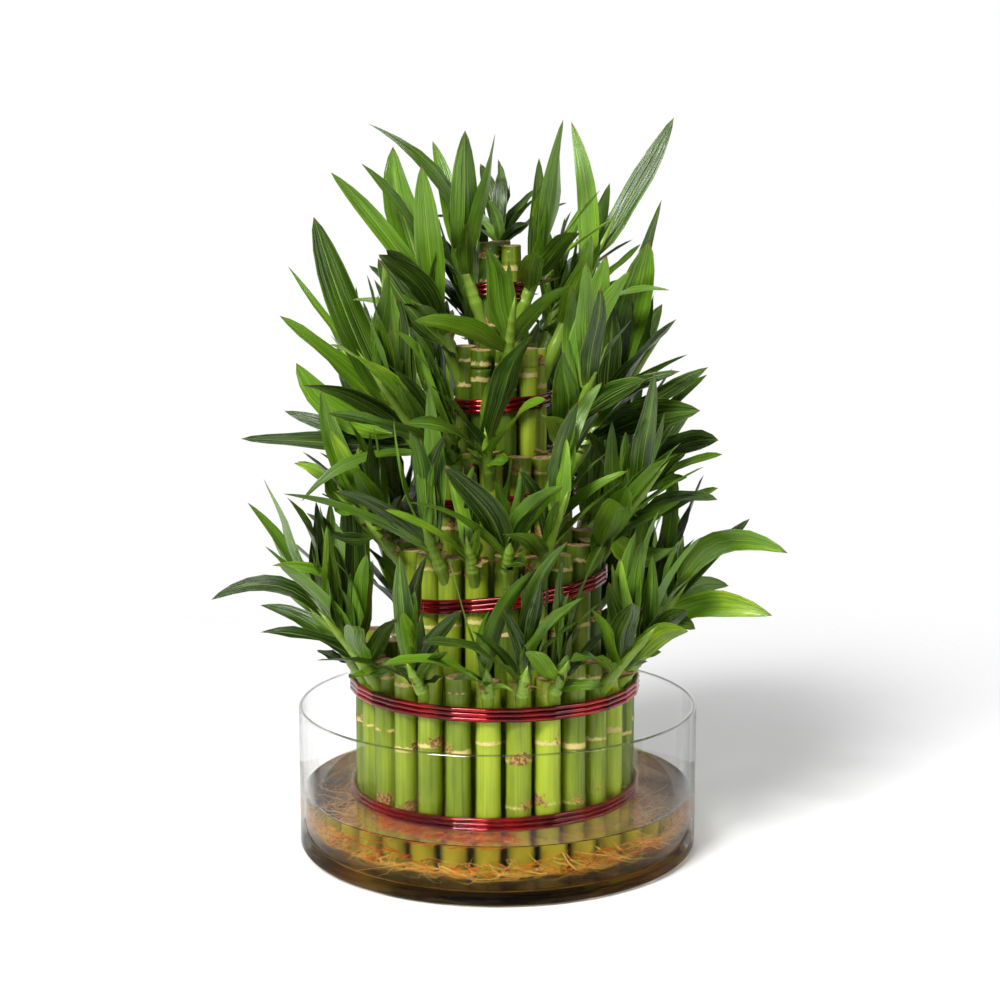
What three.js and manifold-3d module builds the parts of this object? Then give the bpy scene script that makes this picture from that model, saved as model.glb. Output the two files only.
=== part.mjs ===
// Lucky bamboo tower: five nested tiers of cut canes, tied with red wire and standing in water in a round
// glass bowl, with leafy shoots growing from the tops of the canes.
// Millimetres, +Z up. The origin is the middle of the bowl's underside, and the front faces -Y.
import * as THREE from "three";
import { mergeVertices } from "three/addons/utils/BufferGeometryUtils.js";
import Module from "manifold-3d";

const wasm = await Module();
wasm.setup();

// Every piece keeps this gap to the piece it touches.
const GAP = 0.3;

// Glass bowl
const BOWL_RADIUS = 100;
const BOWL_HEIGHT = 72;
const WALL = 2.8;
const BASE = 6;
const RIM_ROUND = 1.0;
const FOOT_ROUND = 3.5;
const INNER_CORNER = 3;
const BOWL_SIDES = 48;
const FLOOR = BASE + GAP;

// Water, with one plain stepped hole for the canes and their roots
const WATER_TOP = 27.5;
const WATER_SIDES = 36;
const ROOT_ROOM_RADIUS = 85;
const ROOT_ROOM_TOP = 17;
const CANE_ROOM_RADIUS = 76;

// Roots
const ROOT_COUNT = 16;
const ROOT_RADIUS = 1.5;
const MAT_RADIUS = 77;
const MAT_HALF_WIDTH = 6.2;
const MAT_HALF_HEIGHT = 2.4;
const MAT_SIDES = 5;
const MAT_STEPS = 28;
const MAT_LUMPS = [
  { height: 0.2, count: 9 },
  { height: 0.12, count: 14 },
];
const ROOT_SEED = 11;
const ROOT_SIDES = 3;
const ROOT_ROWS = 2;

// Canes: the seed of their uneven tops, and how far their swollen nodes stand out, to the front and to their
// neighbours, and how tall they are
const TOP_SEED = 5;
const NODE_SWELL = 0.4;
const NODE_SIDE_SWELL = 0.15;
const NODE_HALF_HEIGHT = 1.8;

// Wire bands: three turns of wire pressed together, how far out the groove between two turns stands, and how
// far above and below a band's middle the leaves keep clear of it
const WIRE = 2.5;
const WIRE_PITCH = 2.5;
const TURNS = 3;
const GROOVE_SHARE = 0.62;
const BAND_REACH = 11;

// Stems of the shoots: how much of the radius is lost towards the end, and how far out they bend upwards
const STEM_SIDES = 3;
const STEM_ROWS = 2;
const STEM_RADIUS = 4.6;
const STEM_TAPER = 0.35;
const STEM_BEND = 0.9;

// Leaf blades: rows along them, thickness and the share of it lost towards the tip, how steeply their edges
// fold up, and the share of their roll that they have at the base
const BLADE_SIDES = 4;
const LEAF_ROWS = 4;
const BLADE_THICKNESS = 1.4;
const BLADE_TAPER = 0.4;
const BLADE_FOLD = 0.22;
const BASE_ROLL = 0.6;

// Placing of leaves: tries for each, how far an outline leaf's tip moves at each try, the most leaves in a
// fan, the shares of a stem between which a fan is rooted, and the share of a blade that may crowd its own fan
const MOST_TRIES = 48;
const TIP_SWING = 5;
const MOST_FAN_LEAVES = 6;
const FAN_START = 0.4;
const FAN_END = 0.97;
const FAN_FREE = 0.25;
const LEAF_SEED = 7;

// The fan rule, in degrees: how far the lowest leaf turns from the shoot's own direction and how much less the
// highest does, how steep the lowest is and how much steeper the highest, and how far each may differ
const FAN_SPREAD = 60;
const FAN_CLOSING = 44;
const SPREAD_DRAW = 16;
const LOWEST_STEEP = 28;
const FAN_STEEPENING = 42;
const STEEP_DRAW = 9;
const MOST_STEEP = 84;
const MOST_ROLL = 45;

// Lengths as shares of the shoot's, widths and arches as shares of the leaf's own length, and what each try
// after the first changes
const LENGTH_SHARES = [0.82, 1.14];
const WIDTH_SHARES = [0.24, 0.3];
const BOW_SHARES = [0.05, 0.14];
const WILDER_PER_TRY = 0.12;
const STEEPER_PER_TRY = 0.9;
const SHORTER_PER_TRY = 0.018;
const NARROWER_PER_TRY = 0.012;

// How far apart the surfaces of two shoots stay, and the spacing of the points that test it
const LEAF_CLEARANCE = 4;
const OWN_CLEARANCE = 1.8;
const CANE_CLEARANCE = 1.2;
const TEST_SPACING = 2.6;
const STEM_TEST_ROWS = 6;
const STEM_TEST_SIDES = 4;
const LOWEST_LEAF = 80;

const UP = new THREE.Vector3(0, 0, 1);
const { degToRad } = THREE.MathUtils;

// Each tier is a ring of canes. azimuth 0 is the front and 90 is the +X side, in degrees.
// radius is a cane's half depth, flat its half width, and bridge the side of it that joins the next cane.
// nodes and bands are heights; tilt is how far a band rises from -X to +X over its own width.
const TIERS = [
  {
    name: "tier1",
    canes: 28,
    ring: 64,
    radius: 6.4,
    flat: 6.4,
    bridge: 1,
    centreX: -1.5,
    azimuth: -2.5,
    top: 100,
    topSpread: 5,
    nodes: [64],
    bands: [
      { height: 30, tilt: 1 },
      { height: 83, tilt: -2 },
    ],
  },
  {
    name: "tier2",
    canes: 20,
    ring: 45.2,
    radius: 6.2,
    flat: 6.2,
    bridge: 1,
    centreX: 1.2,
    azimuth: 4,
    top: 154,
    topSpread: 2.5,
    nodes: [118],
    bands: [{ height: 132, tilt: 11 }],
  },
  {
    name: "tier3",
    canes: 14,
    ring: 30,
    radius: 5.9,
    flat: 5.7,
    bridge: 1,
    centreX: 1.8,
    azimuth: -9,
    top: 200,
    topSpread: 2.5,
    nodes: [165],
    bands: [{ height: 177, tilt: 7 }],
  },
  {
    name: "tier4",
    canes: 9,
    ring: 17.9,
    radius: 5.3,
    flat: 5,
    bridge: 1,
    centreX: 1.5,
    azimuth: 8,
    top: 251,
    topSpread: 2,
    nodes: [234],
    bands: [{ height: 223, tilt: 2 }],
  },
  {
    name: "tier5",
    canes: 3,
    ring: 6.3,
    radius: 5.3,
    flat: 4.6,
    bridge: 2,
    centreX: 1.2,
    azimuth: -60,
    top: 301,
    topSpread: 2,
    nodes: [261, 286],
    bands: [{ height: 277, tilt: 0 }],
  },
];

// Shoots, by tier, one row each: the cane it grows from, counted anticlockwise seen from above from the
// tier's first cane, how far below the cane's top it leaves it, how far out and up its stem goes, how many
// leaves the rule fans out from it, and their length.
const SHOOTS = {
  tier5: [
    [0, 33, 10, 24, 4, 60],
    [1, 33, 12, 24, 4, 60],
    [2, 7, 8, 10, 5, 42],
  ],
  tier4: [
    [0, 9, 9, 14, 5, 58],
    [2, 9, 22, 50, 3, 62],
    [3, 9, 16, 34, 5, 64],
    [5, 9, 16, 30, 5, 64],
    [6, 9, 18, 34, 5, 64],
    [7, 9, 12, 32, 4, 64],
  ],
  tier3: [
    [0, 9, 9, 16, 6, 70],
    [2, 9, 14, 26, 6, 72],
    [4, 8, 18, 28, 3, 72],
    [5, 8, 18, 26, 5, 72],
    [7, 8, 16, 22, 5, 72],
    [9, 8, 18, 26, 5, 72],
    [11, 8, 18, 26, 2, 72],
    [12, 8, 16, 24, 5, 74],
    [13, 9, 9, 20, 5, 72],
  ],
  tier2: [
    [0, 8, 9, 14, 5, 68],
    [1, 8, 12, 18, 5, 70],
    [3, 8, 16, 22, 5, 72],
    [5, 8, 20, 30, 3, 72],
    [7, 8, 18, 22, 5, 72],
    [9, 8, 16, 22, 4, 70],
    [11, 8, 16, 22, 4, 70],
    [13, 8, 18, 22, 4, 72],
    [15, 8, 20, 22, 4, 72],
    [16, 8, 16, 20, 5, 72],
    [18, 8, 12, 18, 5, 70],
    [19, 8, 9, 14, 5, 68],
  ],
  tier1: [
    [0, 8.5, 8, 12, 4, 58],
    [1, 8.5, 9, 12, 4, 60],
    [2, 8.5, 10, 13, 4, 62],
    [4, 8.5, 12, 14, 5, 66],
    [5, 8.5, 14, 16, 4, 68],
    [7, 8.5, 20, 34, 2, 68],
    [9, 8.5, 16, 18, 4, 70],
    [11, 8.5, 16, 16, 4, 70],
    [13, 8.5, 16, 16, 4, 70],
    [15, 8.5, 16, 16, 4, 70],
    [17, 8.5, 16, 16, 4, 70],
    [19, 8.5, 16, 20, 4, 70],
    [21, 8.5, 20, 26, 2, 70],
    [23, 8.5, 14, 20, 4, 66],
    [24, 8.5, 12, 16, 4, 62],
    [26, 8.5, 10, 12, 4, 60],
  ],
};

// Leaves that give the plant its outline, by the shoot's number in its tier. Each row is the tip's place,
// how far up its stem the leaf starts, how far it arches, its width, and its roll in degrees.
const OUTLINE_LEAVES = {
  tier5: {
    0: [
      [-62, -8, 357, 0.5, 16, 12, -50],
      [-32, -14, 350, 0.8, 3, 11, -30],
      [-15, -18, 352, 1, -2, 14, 10],
      [-1, -10, 351, 0.9, -3, 12, 20],
    ],
    1: [
      [20, -14, 341, 0.6, -2, 9, 20],
      [31, -6, 358, 1, -1, 19, 30],
      [48, -30, 325, 0.5, 3, 10, 40],
    ],
  },
  tier4: {
    1: [
      [36, 10, 359, 0.8, 7, 11, -50],
      [56, -10, 330, 0.5, 3, 11, 50],
      [86, 0, 361, 1, -1, 13, 55],
      [68, -14, 300, 0.7, 1, 9, 60],
      [44, -20, 304, 0.4, 0, 14, 20],
    ],
    5: [
      [-80, -8, 334, 0.9, 3, 11, -60],
      [-51, 8, 347, 1, -6, 19, -50],
      [-65, -20, 338, 0.7, 10, 10, -50],
      [-35, -14, 336, 0.8, 1, 15, -20],
      [-58, -4, 293, 0.3, -2, 15, -60],
    ],
  },
  tier3: {
    1: [[68, -56, 238, 0.9, 2, 18, 50]],
    2: [
      [74, 0, 301, 1, -1, 26, 65],
      [83, 12, 322, 0.9, 4, 9, 50],
      [83, -10, 270, 0.7, 3, 15, 60],
      [81, 10, 251, 0.6, 5, 10, 60],
      [102, 0, 241, 0.5, 1, 13, 60],
      [96, -22, 222, 0.3, 6, 20, 50],
    ],
    5: [[-68, 26, 272, 0.8, -7, 17, -30]],
    6: [
      [-89, -4, 313, 1, -3, 25, -65],
      [-104, 14, 289, 0.9, 1, 6, -60],
      [-104, -8, 266, 0.8, 2, 15, -60],
      [-99, 0, 242, 0.6, -8, 18, -60],
      [-107, 14, 217, 0.4, 0, 12, -50],
      [-125, -14, 206, 0.3, 2, 12, -60],
      [-79, 8, 259, 0.9, -10, 19, -40],
    ],
    7: [
      [-59, -44, 266, 1, -2, 19, -30],
      [-93, -40, 179, 0.3, 11, 7, -50],
    ],
    8: [[-47, -60, 261, 0.8, 9, 15, -40]],
  },
  tier2: {
    3: [
      [107, -20, 206, 1, 10, 21, 50],
      [107, -36, 201, 0.8, 7, 10, 50],
      [106, -30, 184, 0.6, 1, 15, 60],
      [43, -44, 213, 0.7, 1, 13, -40],
      [88, -50, 164, 0.3, -10, 18, 50],
    ],
    8: [
      [-84, -8, 188, 1, -4, 17, -50],
      [-104, 12, 189, 0.8, 8, 8, -50],
      [-87, -14, 174, 0.5, -9, 11, -50],
    ],
    9: [[-39, -40, 191, 0.8, -3, 11, 30]],
  },
  tier1: {
    5: [
      [145, 0, 147, 1, 18, 14, 60],
      [127, -16, 163, 0.9, 3, 9, 60],
      [118, 12, 127, 0.8, 8, 10, 60],
      [133, -12, 122, 0.6, 10, 15, 60],
      [89, -14, 156, 0.5, 4, 15, 50],
    ],
    6: [[90, 30, 186, 1, -4, 14, 40]],
    12: [
      [-143, -4, 124, 0.7, 16, 11, -60],
      [-125, 14, 172, 0.8, 5, 9, -60],
      [-109, -10, 192, 1, 1, 21, -60],
      [-117, 4, 153, 0.5, 5, 11, -60],
      [-85, 12, 152, 0.4, -3, 14, -40],
    ],
    13: [[-107, -30, 149, 0.9, 17, 10, -50]],
    14: [[-77, -66, 156, 0.9, 12, 16, -50]],
  },
};

// One material for each finish.
const GLASS = finish(0xdfe9e4, 0.05, { transparent: true, opacity: 0.35 });
const WATER = finish(0xb9b492, 0.08, { transparent: true, opacity: 0.55 });
const ROOT = finish(0xb0602a, 0.85);
const CANE = finish(0x8fa63c, 0.5);
const LEAF = finish(0x3f7d22, 0.42);
const RED_WIRE = finish(0xb01030, 0.22, { metalness: 0.9 });

function finish(color, roughness, extra = {}) {
  return new THREE.MeshStandardMaterial({ color, roughness, metalness: 0, ...extra });
}

// Horizontal unit vector at an azimuth in degrees.
function outward(azimuth) {
  const angle = degToRad(azimuth);
  return new THREE.Vector3(Math.sin(angle), -Math.cos(angle), 0);
}

// A repeatable sequence: each call of what it returns gives its next number, between low and high.
function sequence(seed) {
  let state = seed;
  return (low, high) => {
    state = (state * 1664525 + 1013904223) % 4294967296;
    return low + ((high - low) * state) / 4294967296;
  };
}

// Geometry with only positions and shared vertices, which is what the joining needs.
function closed(geometry) {
  const bare = geometry.clone();
  bare.deleteAttribute("normal");
  bare.deleteAttribute("uv");
  return mergeVertices(bare, 1e-4);
}

function solidOf(geometry) {
  const { attributes, index } = closed(geometry);
  const triVerts = new Uint32Array(index.array);
  return new wasm.Manifold(
    new wasm.Mesh({ numProp: 3, vertProperties: attributes.position.array, triVerts }),
  );
}

// All the pieces joined into one geometry.
function fuse(geometries) {
  const whole = geometries.map(solidOf).reduce((sum, solid) => sum.add(solid));
  const { vertProperties, triVerts } = whole.getMesh();
  const fused = new THREE.BufferGeometry();
  fused.setAttribute("position", new THREE.BufferAttribute(vertProperties, 3));
  fused.setIndex(new THREE.BufferAttribute(triVerts, 1));
  fused.computeVertexNormals();
  return fused;
}

// A primitive that stands along Y, with each vertex moved to place(along, across, face): along runs from
// 0 to 1, and across and face are the two parts of its unit direction round the axis.
function sweep(primitive, place) {
  const position = primitive.attributes.position;
  for (let i = 0; i < position.count; i += 1) {
    const x = position.getX(i);
    const z = position.getZ(i);
    const size = Math.hypot(x, z) || 1;
    const point = place(position.getY(i) + 0.5, -x / size, z / size);
    position.setXYZ(i, point.x, point.y, point.z);
  }
  return primitive;
}

// Point and unit direction of a quadratic curve through three vectors, at a share t of the way.
function bendPoint([start, middle, end], t) {
  return start
    .clone()
    .multiplyScalar((1 - t) ** 2)
    .addScaledVector(middle, 2 * t * (1 - t))
    .addScaledVector(end, t * t);
}

function bendAhead([start, middle, end], t) {
  return middle
    .clone()
    .sub(start)
    .multiplyScalar(1 - t)
    .addScaledVector(end.clone().sub(middle), t)
    .normalize();
}

// Share of a blade's full width at a share of its length: widest near the middle, with a long straight point.
function bladeOutline(along) {
  return (0.1 + 3.8 * along) * (1 - along);
}

// One leaf blade from base to tip. bow is how far its spine arches above the straight line, roll turns it
// about its spine, in degrees, and a fold lifts its edges above its midrib.
class Blade {
  constructor(base, tip, { bow, width, roll }) {
    const run = new THREE.Vector3(tip.x - base.x, tip.y - base.y, 0).normalize();
    const lift = tip.clone().sub(base).normalize();
    this.side = new THREE.Vector3(-run.y, run.x, 0);
    lift.cross(this.side);
    const middle = base.clone().lerp(tip, 0.5).addScaledVector(lift, 2 * bow);
    this.bend = [base, middle, tip];
    this.length = base.distanceTo(tip);
    this.width = width;
    this.roll = roll;
  }

  point(along, across, face) {
    const ahead = bendAhead(this.bend, along);
    const front = ahead.clone().cross(this.side);
    const turn = degToRad(this.roll * (BASE_ROLL + (1 - BASE_ROLL) * along));
    const wide = this.side.clone().multiplyScalar(Math.cos(turn)).addScaledVector(front, Math.sin(turn));
    front.multiplyScalar(Math.cos(turn)).addScaledVector(this.side, -Math.sin(turn));
    const half = (this.width / 2) * bladeOutline(along);
    const thickness = BLADE_THICKNESS * (1 - BLADE_TAPER * along);
    return bendPoint(this.bend, along)
      .addScaledVector(wide, across * half)
      .addScaledVector(front, (face * thickness) / 2 + BLADE_FOLD * Math.abs(across) * half);
  }

  // A closed blade with four corners all along, which narrows to a point at its root and at its tip.
  geometry() {
    const blank = new THREE.CylinderGeometry(1, 1, 1, BLADE_SIDES, LEAF_ROWS, true, Math.PI / 2);
    return sweep(blank, (along, across, face) =>
      along > 0 && along < 1
        ? this.point(along, Math.round(across), Math.round(face))
        : bendPoint(this.bend, along),
    );
  }
}

// Points spread over a blade's middle surface, as flat as its rows are, and close enough together to test
// its clearance.
function testPoints(blade) {
  const steps = Math.ceil(blade.length / LEAF_ROWS / TEST_SPACING);
  const columns = Math.ceil(blade.width / TEST_SPACING);
  const points = [];
  for (let row = 0; row < LEAF_ROWS; row += 1) {
    for (let column = 0; column <= columns; column += 1) {
      const across = (2 * column) / columns - 1;
      const low = blade.point(row / LEAF_ROWS, across, 0);
      const high = blade.point((row + 1) / LEAF_ROWS, across, 0);
      for (let step = 1; step <= steps; step += 1) {
        const share = step / steps;
        points.push({ point: low.clone().lerp(high, share), along: (row + share) / LEAF_ROWS });
      }
    }
  }
  return points;
}

const drawLeaf = sequence(LEAF_SEED);

// Everything already placed, as points in a grid of cells.
const taken = new Map();

function cellOf(value) {
  return Math.floor(value / LEAF_CLEARANCE);
}

function take(points, shoot) {
  for (const { point, along } of points) {
    const key = [cellOf(point.x), cellOf(point.y), cellOf(point.z)].join();
    if (!taken.has(key)) taken.set(key, []);
    taken.get(key).push({ point, along, shoot });
  }
}

// Whether a point keeps clear of the canes and their wire bands.
function clearOfCanes(point) {
  return TIERS.every(({ centreX, ring, radius, top, topSpread, bands }) => {
    if (point.z > top + topSpread + CANE_CLEARANCE) return true;
    const onBand = bands.some(({ height }) => Math.abs(point.z - height) < BAND_REACH);
    const wall = ring + radius + (onBand ? WIRE : 0) + CANE_CLEARANCE;
    return Math.hypot(point.x - centreX, point.y) > wall;
  });
}

// Whether a point keeps clear of the other shoots, and of its own shoot except near the roots of its leaves.
function clearOfShoots({ point, along }, shoot) {
  const [x, y, z] = [cellOf(point.x), cellOf(point.y), cellOf(point.z)];
  for (let i = x - 1; i <= x + 1; i += 1) {
    for (let j = y - 1; j <= y + 1; j += 1) {
      for (let k = z - 1; k <= z + 1; k += 1) {
        for (const other of taken.get([i, j, k].join()) ?? []) {
          const own = other.shoot === shoot;
          if (own && Math.max(along, other.along) < FAN_FREE) continue;
          const needed = own ? OWN_CLEARANCE : LEAF_CLEARANCE;
          if (point.distanceToSquared(other.point) < needed ** 2) return false;
        }
      }
    }
  }
  return true;
}

// Places the first leaf of a series of tries that keeps clear of everything placed before it, if any does.
function placeBlade(shoot, wish) {
  for (let attempt = 0; attempt < MOST_TRIES; attempt += 1) {
    const { root, tip, shape } = wish(attempt);
    const blade = new Blade(root, tip, shape);
    const points = testPoints(blade);
    const free = points.every(
      (test) => test.point.z > LOWEST_LEAF && clearOfCanes(test.point) && clearOfShoots(test, shoot),
    );
    if (free) {
      take(points, shoot);
      shoot.blades.push(blade);
      return;
    }
  }
}

// Alternates to either side, further each time: 0, 1, -1, 2, -2 and so on.
function swing(attempt) {
  return Math.ceil(attempt / 2) * (attempt % 2 ? 1 : -1);
}

// A leafy shoot. Its stem leaves the cane level and bends upwards, and its leaves are rooted along the stem.
class Shoot {
  constructor(tier, [cane, below, reach, rise, leaves, length], number) {
    this.azimuth = tier.azimuth + (360 / tier.canes) * cane;
    const away = outward(this.azimuth);
    const start = new THREE.Vector3(tier.centreX, 0, tier.top - below)
      .addScaledVector(away, tier.ring + tier.radius + GAP);
    const end = start.clone().addScaledVector(away, reach);
    end.z += rise;
    this.name = `${tier.name}_shoot_${String(number + 1).padStart(2, "0")}`;
    this.side = outward(this.azimuth + 90);
    this.bend = [start, start.clone().addScaledVector(away, reach * STEM_BEND), end];
    this.leaves = leaves;
    this.length = length;
    this.outlineLeaves = OUTLINE_LEAVES[tier.name]?.[number] ?? [];
    this.blades = [];
  }

  stemPoint(along, across, face) {
    const inward = bendAhead(this.bend, along).cross(this.side);
    const radius = STEM_RADIUS * (1 - STEM_TAPER * along);
    return bendPoint(this.bend, along)
      .addScaledVector(inward, face * radius)
      .addScaledVector(this.side, across * radius);
  }

  // The stem and its leaves, joined as one body.
  geometry() {
    const blank = new THREE.CylinderGeometry(1, 1, 1, STEM_SIDES, STEM_ROWS, false, Math.PI / 2);
    const stem = sweep(blank, (...where) => this.stemPoint(...where));
    return fuse([stem, ...this.blades.map((blade) => blade.geometry())]);
  }
}

// Points round a stem's surface.
function stemTestPoints(shoot) {
  const points = [];
  for (let row = 1; row <= STEM_TEST_ROWS; row += 1) {
    for (let side = 0; side < STEM_TEST_SIDES; side += 1) {
      const turn = (2 * Math.PI * side) / STEM_TEST_SIDES;
      const point = shoot.stemPoint(row / STEM_TEST_ROWS, Math.cos(turn), Math.sin(turn));
      points.push({ point, along: 0 });
    }
  }
  return points;
}

// A leaf of the outline table. If it would cross another leaf, its tip swings to the front or the back.
function placeOutlineLeaf(shoot, [x, y, z, share, bow, width, roll]) {
  placeBlade(shoot, (attempt) => {
    const tip = new THREE.Vector3(x, y + TIP_SWING * swing(attempt), z);
    return { root: bendPoint(shoot.bend, Math.min(share, FAN_END)), tip, shape: { bow, width, roll } };
  });
}

// One leaf of the fan that the rule gives a shoot: the lowest leaves spread widest and lie flattest, the
// highest stand steep, and they alternate from side to side. One that would cross another leaf is drawn
// again, a little shorter, narrower and steeper.
function placeFanLeaf(shoot, leaf) {
  const share = shoot.leaves > 1 ? leaf / (shoot.leaves - 1) : 0.5;
  const side = leaf % 2 ? 1 : -1;
  const draw = drawLeaf;
  placeBlade(shoot, (attempt) => {
    const wander = draw(-SPREAD_DRAW, SPREAD_DRAW) * (1 + WILDER_PER_TRY * attempt);
    const heading = shoot.azimuth + (side * (FAN_SPREAD - FAN_CLOSING * share) + wander);
    const lean = LOWEST_STEEP + FAN_STEEPENING * share + draw(-STEEP_DRAW, STEEP_DRAW);
    const steep = degToRad(Math.min(MOST_STEEP, lean + STEEPER_PER_TRY * attempt));
    const length = shoot.length * draw(...LENGTH_SHARES) * (1 - SHORTER_PER_TRY * attempt);
    const width = length * draw(...WIDTH_SHARES) * (1 - NARROWER_PER_TRY * attempt);
    const shape = { bow: length * draw(...BOW_SHARES), width, roll: draw(-MOST_ROLL, MOST_ROLL) };
    const root = bendPoint(shoot.bend, FAN_START + (FAN_END - FAN_START) * share);
    const tip = root
      .clone()
      .addScaledVector(outward(heading), length * Math.cos(steep))
      .addScaledVector(UP, length * Math.sin(steep));
    return { root, tip, shape };
  });
}

// Every shoot with its leaves placed: all the stems first, then the outline leaves, then the fans.
function planShoots() {
  const shoots = TIERS.toReversed().flatMap((tier) =>
    SHOOTS[tier.name].map((row, number) => new Shoot(tier, row, number)),
  );
  shoots.forEach((shoot) => take(stemTestPoints(shoot), shoot));
  shoots.forEach((shoot) => shoot.outlineLeaves.forEach((row) => placeOutlineLeaf(shoot, row)));
  for (let leaf = 0; leaf < MOST_FAN_LEAVES; leaf += 1) {
    shoots.filter((shoot) => leaf < shoot.leaves).forEach((shoot) => placeFanLeaf(shoot, leaf));
  }
  return shoots;
}

const drawTop = sequence(TOP_SEED);

// Ring of a tier's canes as one body. They stand apart, except that each is bridged to the next just above
// the middle of its first swollen node. A cane has six corners, seen from above, and the first faces out.
function caneRing({ canes, ring, radius, flat, bridge, centreX, azimuth, top, topSpread, nodes }) {
  const corners = [
    [1, 0],
    [0.5, 1],
    [-0.5, 1],
    [-1, 0],
    [-0.5, -1],
    [0.5, -1],
  ];
  const points = [];
  const faces = [];
  const rowCount = 2 + 3 * nodes.length;
  const at = (cane, row, corner) =>
    ((cane % canes) * rowCount + row) * corners.length + (corner % corners.length);
  const quad = (a, b, c, d) => faces.push(a, b, c, a, c, d);
  for (let cane = 0; cane < canes; cane += 1) {
    const away = outward(azimuth + (360 / canes) * cane);
    const side = outward(azimuth + (360 / canes) * cane + 90);
    const rows = [[FLOOR, radius, flat]];
    nodes.forEach((height) => {
      rows.push([height - NODE_HALF_HEIGHT, radius, flat]);
      rows.push([height, radius + NODE_SWELL, flat + NODE_SIDE_SWELL]);
      rows.push([height + NODE_HALF_HEIGHT, radius, flat]);
    });
    rows.push([top + drawTop(-topSpread, topSpread), radius, flat]);
    rows.forEach(([height, deep, broad], row) => {
      corners.forEach(([out, across], corner) => {
        const middle = new THREE.Vector3(centreX, 0, height).addScaledVector(away, ring + out * deep);
        points.push(middle.addScaledVector(side, across * broad));
        const bridged = row === 2 && (corner === bridge || corner === corners.length - 1 - bridge);
        if (row + 1 < rowCount && !bridged) {
          quad(
            at(cane, row, corner),
            at(cane, row, corner + 1),
            at(cane, row + 1, corner + 1),
            at(cane, row + 1, corner),
          );
        }
      });
    });
    for (let corner = 1; corner < corners.length - 1; corner += 1) {
      faces.push(at(cane, 0, 0), at(cane, 0, corner + 1), at(cane, 0, corner));
      const last = rowCount - 1;
      faces.push(at(cane, last, 0), at(cane, last, corner), at(cane, last, corner + 1));
    }
    const near = [at(cane, 2, bridge), at(cane, 2, bridge + 1), at(cane, 3, bridge + 1), at(cane, 3, bridge)];
    const far = corners.length - 1 - bridge;
    const next = [[2, far + 1], [2, far], [3, far], [3, far + 1]].map(([row, corner]) =>
      at(cane + 1, row, corner),
    );
    near.forEach((point, i) => quad(point, near[(i + 1) % 4], next[(i + 1) % 4], next[i]));
  }
  const whole = new THREE.BufferGeometry().setFromPoints(points);
  whole.setIndex(faces);
  whole.computeVertexNormals();
  return whole;
}

// The taut line that wire takes round a tier: distance from the tier's centre and azimuth of each corner.
function wireCorners({ canes, ring, radius, azimuth }) {
  const perCane = canes > 3 ? 1 : 4;
  const step = 360 / (canes * perCane);
  const touch = (radius + GAP) / Math.cos(degToRad(step / 2));
  const corners = [];
  for (let cane = 0; cane < canes; cane += 1) {
    for (let corner = 0; corner < perCane; corner += 1) {
      const facing = azimuth + (360 / canes) * cane;
      const turn = facing + step * (corner - (perCane - 1) / 2);
      corners.push({ middle: outward(facing).multiplyScalar(ring), away: outward(turn), touch });
    }
  }
  return corners;
}

// A band of wire turns pressed together, as one closed ring with a ridge for each turn.
function wireBand(tier, { height, tilt }) {
  const corners = wireCorners(tier);
  const half = (TURNS * WIRE_PITCH) / 2;
  const section = [[0, -half]];
  for (let turn = 0; turn < TURNS; turn += 1) {
    const middle = (turn - (TURNS - 1) / 2) * WIRE_PITCH;
    if (turn) section.push([WIRE * GROOVE_SHARE, middle - WIRE_PITCH / 2]);
    section.push([WIRE, middle]);
  }
  section.push([0, half]);
  const blank = new THREE.TorusGeometry(2, 1, section.length, corners.length);
  const position = blank.attributes.position;
  const rowLength = corners.length + 1;
  for (let i = 0; i < position.count; i += 1) {
    const { middle, away, touch } = corners[(i % rowLength) % corners.length];
    const [out, up] = section[Math.floor(i / rowLength) % section.length];
    const point = middle.clone().addScaledVector(away, touch + out);
    const slope = tilt / (2 * (tier.ring + tier.radius));
    position.setXYZ(i, tier.centreX + point.x, point.y, height + up + slope * point.x);
  }
  return fuse([blank]);
}

// A shape turned about +Z from a profile of [radius, height] points that starts and ends on the axis, or
// closes on itself.
function turned(profile, sides) {
  const points = profile.map(([radius, height]) => new THREE.Vector2(radius, height));
  return fuse([new THREE.LatheGeometry(points, sides).rotateX(Math.PI / 2)]);
}

function bowl() {
  const inside = BOWL_RADIUS - WALL;
  const foot = FOOT_ROUND * (1 - Math.SQRT1_2);
  return turned(
    [
      [0, 0],
      [BOWL_RADIUS - FOOT_ROUND, 0],
      [BOWL_RADIUS - foot, foot],
      [BOWL_RADIUS, FOOT_ROUND],
      [BOWL_RADIUS, BOWL_HEIGHT - RIM_ROUND],
      [BOWL_RADIUS - RIM_ROUND, BOWL_HEIGHT],
      [inside + RIM_ROUND, BOWL_HEIGHT],
      [inside, BOWL_HEIGHT - RIM_ROUND],
      [inside, BASE + INNER_CORNER],
      [inside - INNER_CORNER, BASE],
      [0, BASE],
    ],
    BOWL_SIDES,
  );
}

function water() {
  const outside = BOWL_RADIUS - WALL - 2 * GAP;
  return turned(
    [
      [ROOT_ROOM_RADIUS, FLOOR],
      [outside - INNER_CORNER, FLOOR],
      [outside, FLOOR + INNER_CORNER],
      [outside, WATER_TOP],
      [CANE_ROOM_RADIUS, WATER_TOP],
      [CANE_ROOM_RADIUS, ROOT_ROOM_TOP],
      [ROOT_ROOM_RADIUS, ROOT_ROOM_TOP],
      [ROOT_ROOM_RADIUS, FLOOR],
    ],
    WATER_SIDES,
  );
}

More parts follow.
